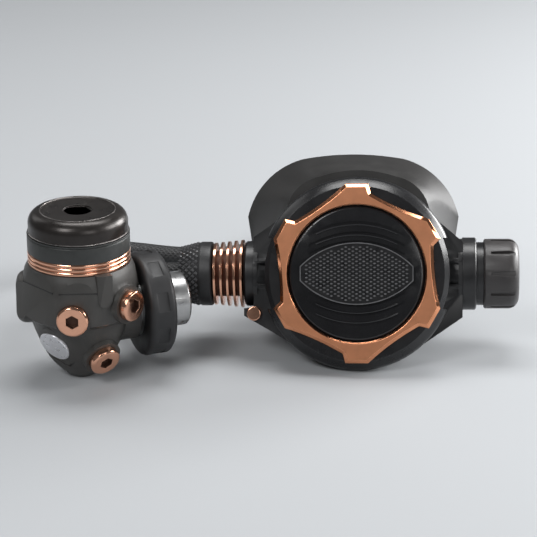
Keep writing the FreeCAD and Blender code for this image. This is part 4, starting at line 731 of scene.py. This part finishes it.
# Control points of the hose's line in metres, from the sleeve to the port fitting
HOSE_ROUTE = [
    (-0.03914902, 0.00486545, 0.03054027),
    (-0.04852377, 0.00550891, 0.03029524),
    (-0.0581, 0.0084, 0.0299),
    (-0.0735, 0.0169, 0.0288),
    (-0.0886, 0.0275, 0.0275),
    (-0.1010, 0.0455, 0.0240),
    (-0.1020, 0.0660, 0.0185),
    (-0.0910, 0.0860, 0.0115),
    (-0.0700, 0.0965, 0.0068),
    (-0.0430, 0.0918, 0.0050),
    (-0.0194, 0.0930, 0.0048),
    (0.0000, 0.1080, 0.0048),
    (0.0115, 0.1300, 0.0048),
    (0.0230, 0.1447, 0.0048),
    (0.0400, 0.1519, 0.0048),
    (0.0590, 0.1503, 0.0048),
    (0.0750, 0.1400, 0.0048),
    (0.0850, 0.1185, 0.0048),
    (0.0820, 0.0945, 0.0048),
    (0.0660, 0.0765, 0.0048),
    (0.0430, 0.0685, 0.0048),
    (0.0180, 0.0680, 0.0048),
    (-0.0070, 0.0715, 0.0052),
    (-0.0320, 0.0705, 0.0062),
    (-0.0550, 0.0615, 0.0085),
    (-0.0710, 0.0475, 0.0115),
    (-0.0770, 0.0360, 0.0128),
    (-0.0796, 0.0250, 0.0130),
    (-0.0796, 0.0133, 0.0130),
]


def centreline(route):
    """Points along the route's smooth line."""
    data = bpy.data.curves.new("hose_line", "CURVE")
    data.dimensions = "3D"
    data.resolution_u = STEPS_PER_RUN
    spline = data.splines.new("NURBS")
    spline.points.add(len(route) - 1)
    for point, place in zip(spline.points, route):
        point.co = (*place, 1)
    spline.order_u = 3
    spline.use_endpoint_u = True
    line = bpy.data.objects.new("hose_line", data)
    bpy.context.scene.collection.objects.link(line)
    bpy.context.view_layer.update()
    mesh = bpy.data.meshes.new_from_object(line)
    points = [vertex.co.copy() for vertex in mesh.vertices]
    bpy.data.meshes.remove(mesh)
    bpy.data.objects.remove(line)
    return points


def tube_along(points, radius, sides):
    """A round tube with closed ends, and a map of its length in metres and its turns."""
    shape = bmesh.new()
    ring = bmesh.ops.create_circle(shape, segments=sides, radius=radius)["verts"]
    way = (points[1] - points[0]).normalized()
    start = Matrix.Translation(points[0]) @ way.to_track_quat("Z", "Y").to_matrix().to_4x4()
    bmesh.ops.transform(shape, matrix=start, verts=ring)
    edges = first_edges = shape.edges[:]
    length_at = {vertex: 0.0 for vertex in ring}
    total = 0.0
    for number, point in enumerate(points[1:], start=1):
        after = points[min(number + 1, len(points) - 1)]
        next_way = (after - points[number - 1]).normalized()
        made = bmesh.ops.extrude_edge_only(shape, edges=edges)["geom"]
        ring = [item for item in made if isinstance(item, bmesh.types.BMVert)]
        edges = [item for item in made if isinstance(item, bmesh.types.BMEdge)]
        step = way.rotation_difference(next_way).to_matrix().to_4x4()
        before = points[number - 1]
        move = Matrix.Translation(point) @ step @ Matrix.Translation(-before)
        bmesh.ops.transform(shape, matrix=move, verts=ring)
        total += (point - before).length
        length_at.update((vertex, total) for vertex in ring)
        way = next_way
    uv = shape.loops.layers.uv.new("UVMap")
    turn_at = {vertex: (number % sides) / sides for number, vertex in enumerate(shape.verts)}
    for face in shape.faces:
        turns = [turn_at[loop.vert] for loop in face.loops]
        wrapped = max(turns) - min(turns) > 0.5
        for loop, turned in zip(face.loops, turns):
            loop[uv].uv = (length_at[loop.vert], turned + (1 if wrapped and turned < 0.5 else 0))
    bmesh.ops.contextual_create(shape, geom=first_edges)
    bmesh.ops.contextual_create(shape, geom=edges)
    bmesh.ops.recalc_face_normals(shape, faces=shape.faces)
    return shape


class REGULATOR_OT_hose(Operator):
    """Makes the braided hose between the sleeve and the port fitting."""

    bl_idname = "regulator.hose"
    bl_label = "Hose"

    def execute(self, context):
        hose = settings("hose")
        points = centreline(HOSE_ROUTE)
        shape = tube_along(points, hose.diameter / 2, hose.sides)
        made = piece("braided_hose", shape, "hose_braid", HOUSING, "hose")
        painted("hose_fitting")
        return {"FINISHED"}


# First stage

# The body's radius, and the height and the lean of its flat shoulders
BODY_RADIUS = 24.2 * MM
FLAT_HEIGHT = 44.0 * MM
FLAT_LEAN = 0.10

# The flat shoulders: degrees from the front towards the right, and how far out they lie
FLATS = ((-47, 21.9 * MM), (3, 22.75 * MM))

# How near to a cut a point counts as lying on it
CUT_TOLERANCE = 0.001 * MM

# A seam's radius, how deep its middle lies, and its length as a share of its shoulder's width
SEAM_RADIUS = 0.28 * MM
SEAM_SINK = 0.06 * MM
SEAM_SHARE = 0.96

# Fine beads round the cap: radius, depth below its top or height above its foot, and the bead's radius
CAP_DISC = (15.5 * MM, 0.10 * MM, 0.17 * MM)
CAP_FOOT = (20.65 * MM, 0.55 * MM, 0.26 * MM)


def way_at(angle):
    """A level direction round the first stage, from the front towards its right."""
    turn = math.radians(angle)
    return Vector((math.sin(turn), -math.cos(turn), 0))


def faceted_body():
    """The first stage's body with the flat shoulders that its cover has."""
    shape = copy_of("first_stage_body")
    for angle, distance in FLATS:
        way = way_at(angle)
        cut = bmesh.ops.bisect_plane(
            shape, geom=shape.verts[:] + shape.edges[:] + shape.faces[:], dist=CUT_TOLERANCE,
            plane_co=FIRST_STAGE @ (way * distance + UP * FLAT_HEIGHT),
            plane_no=(way + UP * FLAT_LEAN).normalized(), clear_outer=True,
        )["geom_cut"]
        bmesh.ops.holes_fill(shape, edges=[item for item in cut if isinstance(item, bmesh.types.BMEdge)])
    return closed(shape)


def body_seams():
    """The fine dark joins of the body's rubber cover, along its shoulders."""
    shape = bmesh.new()
    for angle, distance in FLATS:
        way = way_at(angle)
        side = UP.cross(way)
        half = math.sqrt(BODY_RADIUS**2 - distance**2) * SEAM_SHARE
        middle = FIRST_STAGE @ (way * (distance - SEAM_SINK) + UP * FLAT_HEIGHT)
        where = frame_of(middle, way, UP, side)
        made = bmesh.ops.create_cone(
            shape, cap_ends=True, segments=8, radius1=SEAM_RADIUS, radius2=SEAM_RADIUS, depth=2 * half,
        )["verts"]
        bmesh.ops.transform(shape, matrix=where, verts=made)
    return piece("body_seams", closed(shape), "seal_rubber", HOUSING)


def cap_lines():
    """The crisp edge of the cap's disc and the edge at its foot, as beads in a pale colour that paints their
    highlight.
    """
    shape = bmesh.new()
    radius, below, bead = CAP_DISC
    spun(shape, circle_line(radius, CAP_HIGH.z - below, bead), FIRST_STAGE)
    radius, above, bead = CAP_FOOT
    spun(shape, circle_line(radius, CAP_LOW.z + above, bead), FIRST_STAGE)
    made = piece("cap_lines", closed(shape), "cap_metal", HOUSING)
    # Both beads take the pale colour as a painted highlight
    return dressed(made, bright_edge, lambda face: True)


class REGULATOR_OT_first_stage(Operator):
    """Dresses the first stage's body, plugs, rings and cap."""

    bl_idname = "regulator.first_stage"
    bl_label = "First stage"

    def execute(self, context):
        softened("first_stage_body", 0.35 * MM, shape=faceted_body())
        body_seams()
        cap_lines()
        softened("end_cap", 0.25 * MM)
        softened("spring_housing", 0.15 * MM)
        softened("diaphragm_clamp_ring", 0.08 * MM)
        # The plugs' sockets take a painted shade
        with_painted_socket_shade(softened("low_pressure_plugs", 0.2 * MM))
        with_painted_socket_shade(softened("high_pressure_plug", 0.2 * MM))
        softened("badge_disc", 0.15 * MM)
        painted(
            "port_seals", "first_stage_diaphragm", "spring_pad", "main_spring", "adjusting_screw",
            "high_pressure_seat", "high_pressure_poppet", "push_pin",
        )
        return {"FINISHED"}


class REGULATOR_OT_inlet(Operator):
    """Dresses the handwheel, the connector and what is in it."""

    bl_idname = "regulator.inlet"
    bl_label = "Inlet"

    def execute(self, context):
        softened("handwheel", 0.3 * MM)
        softened("cylinder_connector", 0.2 * MM)
        painted("inlet_stem", "connector_seal", "inlet_filter")
        return {"FINISHED"}


# Second stage

FIN_ROOT_RADIUS = 11.2 * MM

# The tapered sleeve: where it starts and ends along the barrel, and its radius there
SLEEVE_START = -75.2 * MM
SLEEVE_END = -67.8 * MM
SLEEVE_SMALL = 11.6 * MM
SLEEVE_LARGE = 13.5 * MM

# The first row's middle and a diamond's length in row pitches, its width as a share of the room that it
# has, and its top as a share of its foot
FIRST_ROW = 0.7
DIAMOND_LENGTH = 1.75
DIAMOND_WIDTH = 0.88
DIAMOND_TOP = 0.45

# The label plate: half its width and half its ends' height, the radius of its long sides, and its top
LABEL_END_X = 23.7 * MM
LABEL_END_Y = 3.0 * MM
LABEL_ARC = 33.1 * MM
LABEL_TOP = 9.6 * MM

# The width of the rim's flat top, and of the slope inside it
RIM_WIDTH = 0.35 * MM
RIM_SLOPE = 0.12 * MM

# The least distance from the plate's edge to a knurl's middle
FIELD_MARGIN = 1.5 * MM

# A knurl's length in pitches, its width in rows, its top as a share of its foot, and how far it sinks in
KNURL_LENGTH = 0.58
KNURL_WIDTH = 1.05
KNURL_TOP = 0.62
KNURL_SINK = 0.02 * MM
KNURL_SIDES = 8

# How far below the knurls' tops a face that is turned up still counts as one of them
TOP_TOLERANCE = 0.05 * MM


def at_fin_root(face):
    """Whether a face of the fins lies deep in a gap."""
    place = BARREL.inverted() @ face.center
    return place.xy.length < FIN_ROOT_RADIUS


def sleeve_diamonds():
    """Staggered raised diamonds round the tapered sleeve."""
    sleeve = settings("sleeve")
    shape = bmesh.new()
    slope = math.atan2(SLEEVE_LARGE - SLEEVE_SMALL, SLEEVE_END - SLEEVE_START)
    for row in range(sleeve.rows):
        along = SLEEVE_END - (row + FIRST_ROW) * sleeve.row_pitch
        share = (along - SLEEVE_START) / (SLEEVE_END - SLEEVE_START)
        radius = SLEEVE_SMALL + (SLEEVE_LARGE - SLEEVE_SMALL) * share
        long = sleeve.row_pitch * DIAMOND_LENGTH
        wide = FULL_TURN * radius / sleeve.diamonds * DIAMOND_WIDTH
        for number in range(sleeve.diamonds):
            turn = FULL_TURN * (number + row % 2 / 2) / sleeve.diamonds
            where = (
                BARREL @ Matrix.Rotation(turn, 4, "Z") @ Matrix.Translation((radius, 0, along))
                @ Matrix.Rotation(math.pi / 2 - slope, 4, "Y")
            )
            place_stud(shape, where, long, wide, sleeve.rise, DIAMOND_TOP)
    made = piece("sleeve_diamonds", shape, "sleeve_rubber", HOUSING, angle=20)
    # Every face of the diamonds takes a paler colour as a painted highlight
    return dressed(made, raised_rubber, lambda face: True)


def faces_up(face, height):
    """Whether a face is turned up and lies above a height."""
    return face.normal.z > 0.99 and face.calc_center_median().z > height


def in_field(x, y, arc_middle):
    """Whether a place on the label plate lies inside its knurled field."""
    reach = Vector((x, abs(y) - arc_middle)).length
    return reach <= LABEL_ARC - FIELD_MARGIN and abs(x) <= LABEL_END_X - FIELD_MARGIN


def label_field():
    """The label plate with a raised rim round a knurled field."""
    label = settings("face")
    shape = copy_of("label_plate")
    bmesh.ops.transform(shape, matrix=FACE.inverted(), verts=shape.verts)
    shape.normal_update()
    top = [face for face in shape.faces if faces_up(face, LABEL_TOP - MM)]
    bmesh.ops.inset_region(shape, faces=top, thickness=RIM_WIDTH, use_even_offset=True)
    bmesh.ops.inset_region(
        shape, faces=top, thickness=RIM_SLOPE, depth=-label.field_depth, use_even_offset=True,
    )
    arc_middle = LABEL_END_Y - math.sqrt(LABEL_ARC**2 - LABEL_END_X**2)
    columns = math.ceil(LABEL_END_X / label.knurl) + 1
    rows = math.ceil((LABEL_ARC + arc_middle) / label.knurl_row)
    height = LABEL_TOP - label.field_depth + label.knurl_rise / 2 - KNURL_SINK
    long, wide = label.knurl * KNURL_LENGTH, label.knurl_row * KNURL_WIDTH
    for row in range(-rows, rows + 1):
        for column in range(-columns, columns + 1):
            x, y = (column + row % 2 / 2) * label.knurl, row * label.knurl_row
            if in_field(x, y, arc_middle):
                where = Matrix.Translation((x, y, height))
                place_stud(shape, where, long, wide, label.knurl_rise, KNURL_TOP, KNURL_SIDES)
    shape.normal_update()
    shape.faces.index_update()
    # The knurls' tops and the rim's top take a paler colour as a painted highlight
    low = LABEL_TOP - label.field_depth + label.knurl_rise - TOP_TOLERANCE
    tops = {face.index for face in shape.faces if faces_up(face, low)}
    made = piece(
        "label_field", shape, "label_plastic", "purge_button", "label_plate", place=FACE, angle=25,
    )
    return dressed(made, knurl_tops, lambda face: face.index in tops)


# The radius that a ridge bends with, the radius of its section, and half of the angle that it spans
RIDGE_RADIUS = 39.0 * MM
RIDGE_SECTION = 0.42 * MM
RIDGE_HALF_TURN = math.radians(26)

# Ridges on the cover: where the middle lies, which way it bulges and its height, in mm
RIDGES = ((20.55, 1, 8.02), (16.25, 1, 8.32), (-16.45, -1, 8.32), (-20.55, -1, 8.02))


def cover_ridges():
    """Soft ridges beside the cover's curved creases, which catch the light."""
    shape = bmesh.new()
    for apex, facing, height in RIDGES:
        line = circle_line(RIDGE_RADIUS, height * MM, RIDGE_SECTION, 8)
        start = Matrix.Rotation(facing * math.pi / 2 - RIDGE_HALF_TURN, 4, "Z")
        centre = Matrix.Translation((0, apex * MM - facing * RIDGE_RADIUS, 0))
        spun(shape, line, FACE @ centre @ start, turn=2 * RIDGE_HALF_TURN, steps=48)
    closed(shape)
    bmesh.ops.holes_fill(shape, edges=[edge for edge in shape.edges if edge.is_boundary])
    return piece("cover_ridges", shape, "cover_plastic", "purge_button")


# A bite tab's rings in mm, as skin_of takes them, and how far out the tabs sit
BITE_TAB = (
    (13.0, 8.6, -3, -60.4), (12.6, 6.6, -3, -62.5), (12.4, 5.6, -3, -66.0), (12.6, 5.6, -3, -70.5),
    (13.0, 8.4, -3, -72.8), (13.0, 9.0, -3, -74.0), (12.4, 8.2, -3, -75.4), (10.0, 5.5, -3, -76.0),
)
BITE_TAB_PLACE = 20 * MM


def mouthpiece_rings(tall, middle):
    """Rings along the outside, over the lip flange of a height and middle, and back inside."""
    outside = [
        (31.0, 19.0, -3, -34.0), (34.6, 22.6, -3, -34.0), (35.8, 23.8, -3, -34.8),
        (35.8, 23.8, -3, -42.0), (36.4, 24.4, -3, -42.6), (36.4, 24.4, -3, -48.0),
    ]
    flange = [
        (38.6, 25.8, -3.2, -52.5), (45.0, tall * 0.86, middle, -56.6), (55.5, tall - 2.2, middle, -57.9),
        (57.6, tall - 0.4, middle, -58.8), (57.8, tall - 0.2, middle, -59.8),
        (56.4, tall - 1.6, middle, -60.8), (46.0, tall * 0.8, middle, -60.9),
    ]
    inside = [
        (30.0, 18.0, -3, -60.9), (26.6, 14.6, -3, -60.0),
        (26.6, 14.6, -3, -44.1), (31.0, 19.0, -3, -44.1),
    ]
    return outside + flange + inside


def mouthpiece():
    """The silicone mouthpiece: a sleeve that flares into the lip flange, and two bite tabs."""
    heights = [(FACE.inverted() @ vertex.co).y for vertex in nodes["mouthpiece"].data.vertices]
    tall = (max(heights) - min(heights)) / MM
    middle = (max(heights) + min(heights)) / 2 / MM
    shape = bmesh.new()
    skin_of(shape, mouthpiece_rings(tall, middle))
    for across in (-BITE_TAB_PLACE, BITE_TAB_PLACE):
        skin_of(shape, BITE_TAB, across, closed_ends=True)
    return piece(
        "mouthpiece_soft", closed(shape), "mouthpiece_silicone", HOUSING, "mouthpiece",
        place=FACE, angle=60,
    )


class REGULATOR_OT_second_stage(Operator):
    """Dresses the second stage's case, ring, bezel, cover, knob and what is inside."""

    bl_idname = "regulator.second_stage"
    bl_label = "Second stage"

    def execute(self, context):
        softened("second_stage_case", 0.4 * MM)
        softened("cover_ring", 0.3 * MM)
        softened("bezel", 0.2 * MM)
        softened("purge_cover", 0.38 * MM, 3)
        label_field()
        cover_ridges()
        softened("adjusting_knob", 0.3 * MM)
        softened("knob_collar", 0.2 * MM)
        softened("inlet_neck", 0.2 * MM, slot="collar_plastic")
        fins = softened("heat_exchanger", 0.1 * MM)
        # The fins' roots, deep in the gaps, take a painted shade
        dressed(fins, socket_shade, at_fin_root)
        softened("hose_sleeve", 0.2 * MM)
        sleeve_diamonds()
        softened("lock_button", 0.1 * MM)
        softened("exhaust_deflector", 0.5 * MM)
        mouthpiece()
        painted(
            "diaphragm_guard", "purge_spring", "diaphragm", "diaphragm_plate", "demand_lever",
            "valve_barrel", "orifice", "demand_poppet", "demand_spring", "breathing_adjuster",
            "inlet_tube", "hose_ferrule", "exhaust_valve", "mouthpiece_strap",
        )
        return {"FINISHED"}


class REGULATOR_PT_panel(Panel):
    """Shows the regulator set's steps and their settings."""

    bl_idname = "REGULATOR_PT_panel"
    bl_label = "Scuba Regulator Set"
    bl_space_type = "VIEW_3D"
    bl_region_type = "UI"
    bl_category = "Regulator"

    def draw(self, context):
        for operator in OPERATORS:
            self.layout.operator(operator.bl_idname)
        for name, group in SETTINGS.items():
            box = self.layout.box()
            for setting in group.__annotations__:
                box.prop(getattr(context.scene, name), setting)


OPERATORS = (
    REGULATOR_OT_stage,
    REGULATOR_OT_hose,
    REGULATOR_OT_first_stage,
    REGULATOR_OT_inlet,
    REGULATOR_OT_second_stage,
)
CLASSES = (*SETTINGS.values(), *OPERATORS, REGULATOR_PT_panel)


def register():
    for one in CLASSES:
        bpy.utils.register_class(one)
    for name, group in SETTINGS.items():
        setattr(bpy.types.Scene, name, PointerProperty(type=group))


def unregister():
    for name in SETTINGS:
        delattr(bpy.types.Scene, name)
    for one in reversed(CLASSES):
        bpy.utils.unregister_class(one)


def main():
    register()
    for operator in OPERATORS:
        group, name = operator.bl_idname.split(".")
        getattr(getattr(bpy.ops, group), name)()


if __name__ == "__main__":
    main()
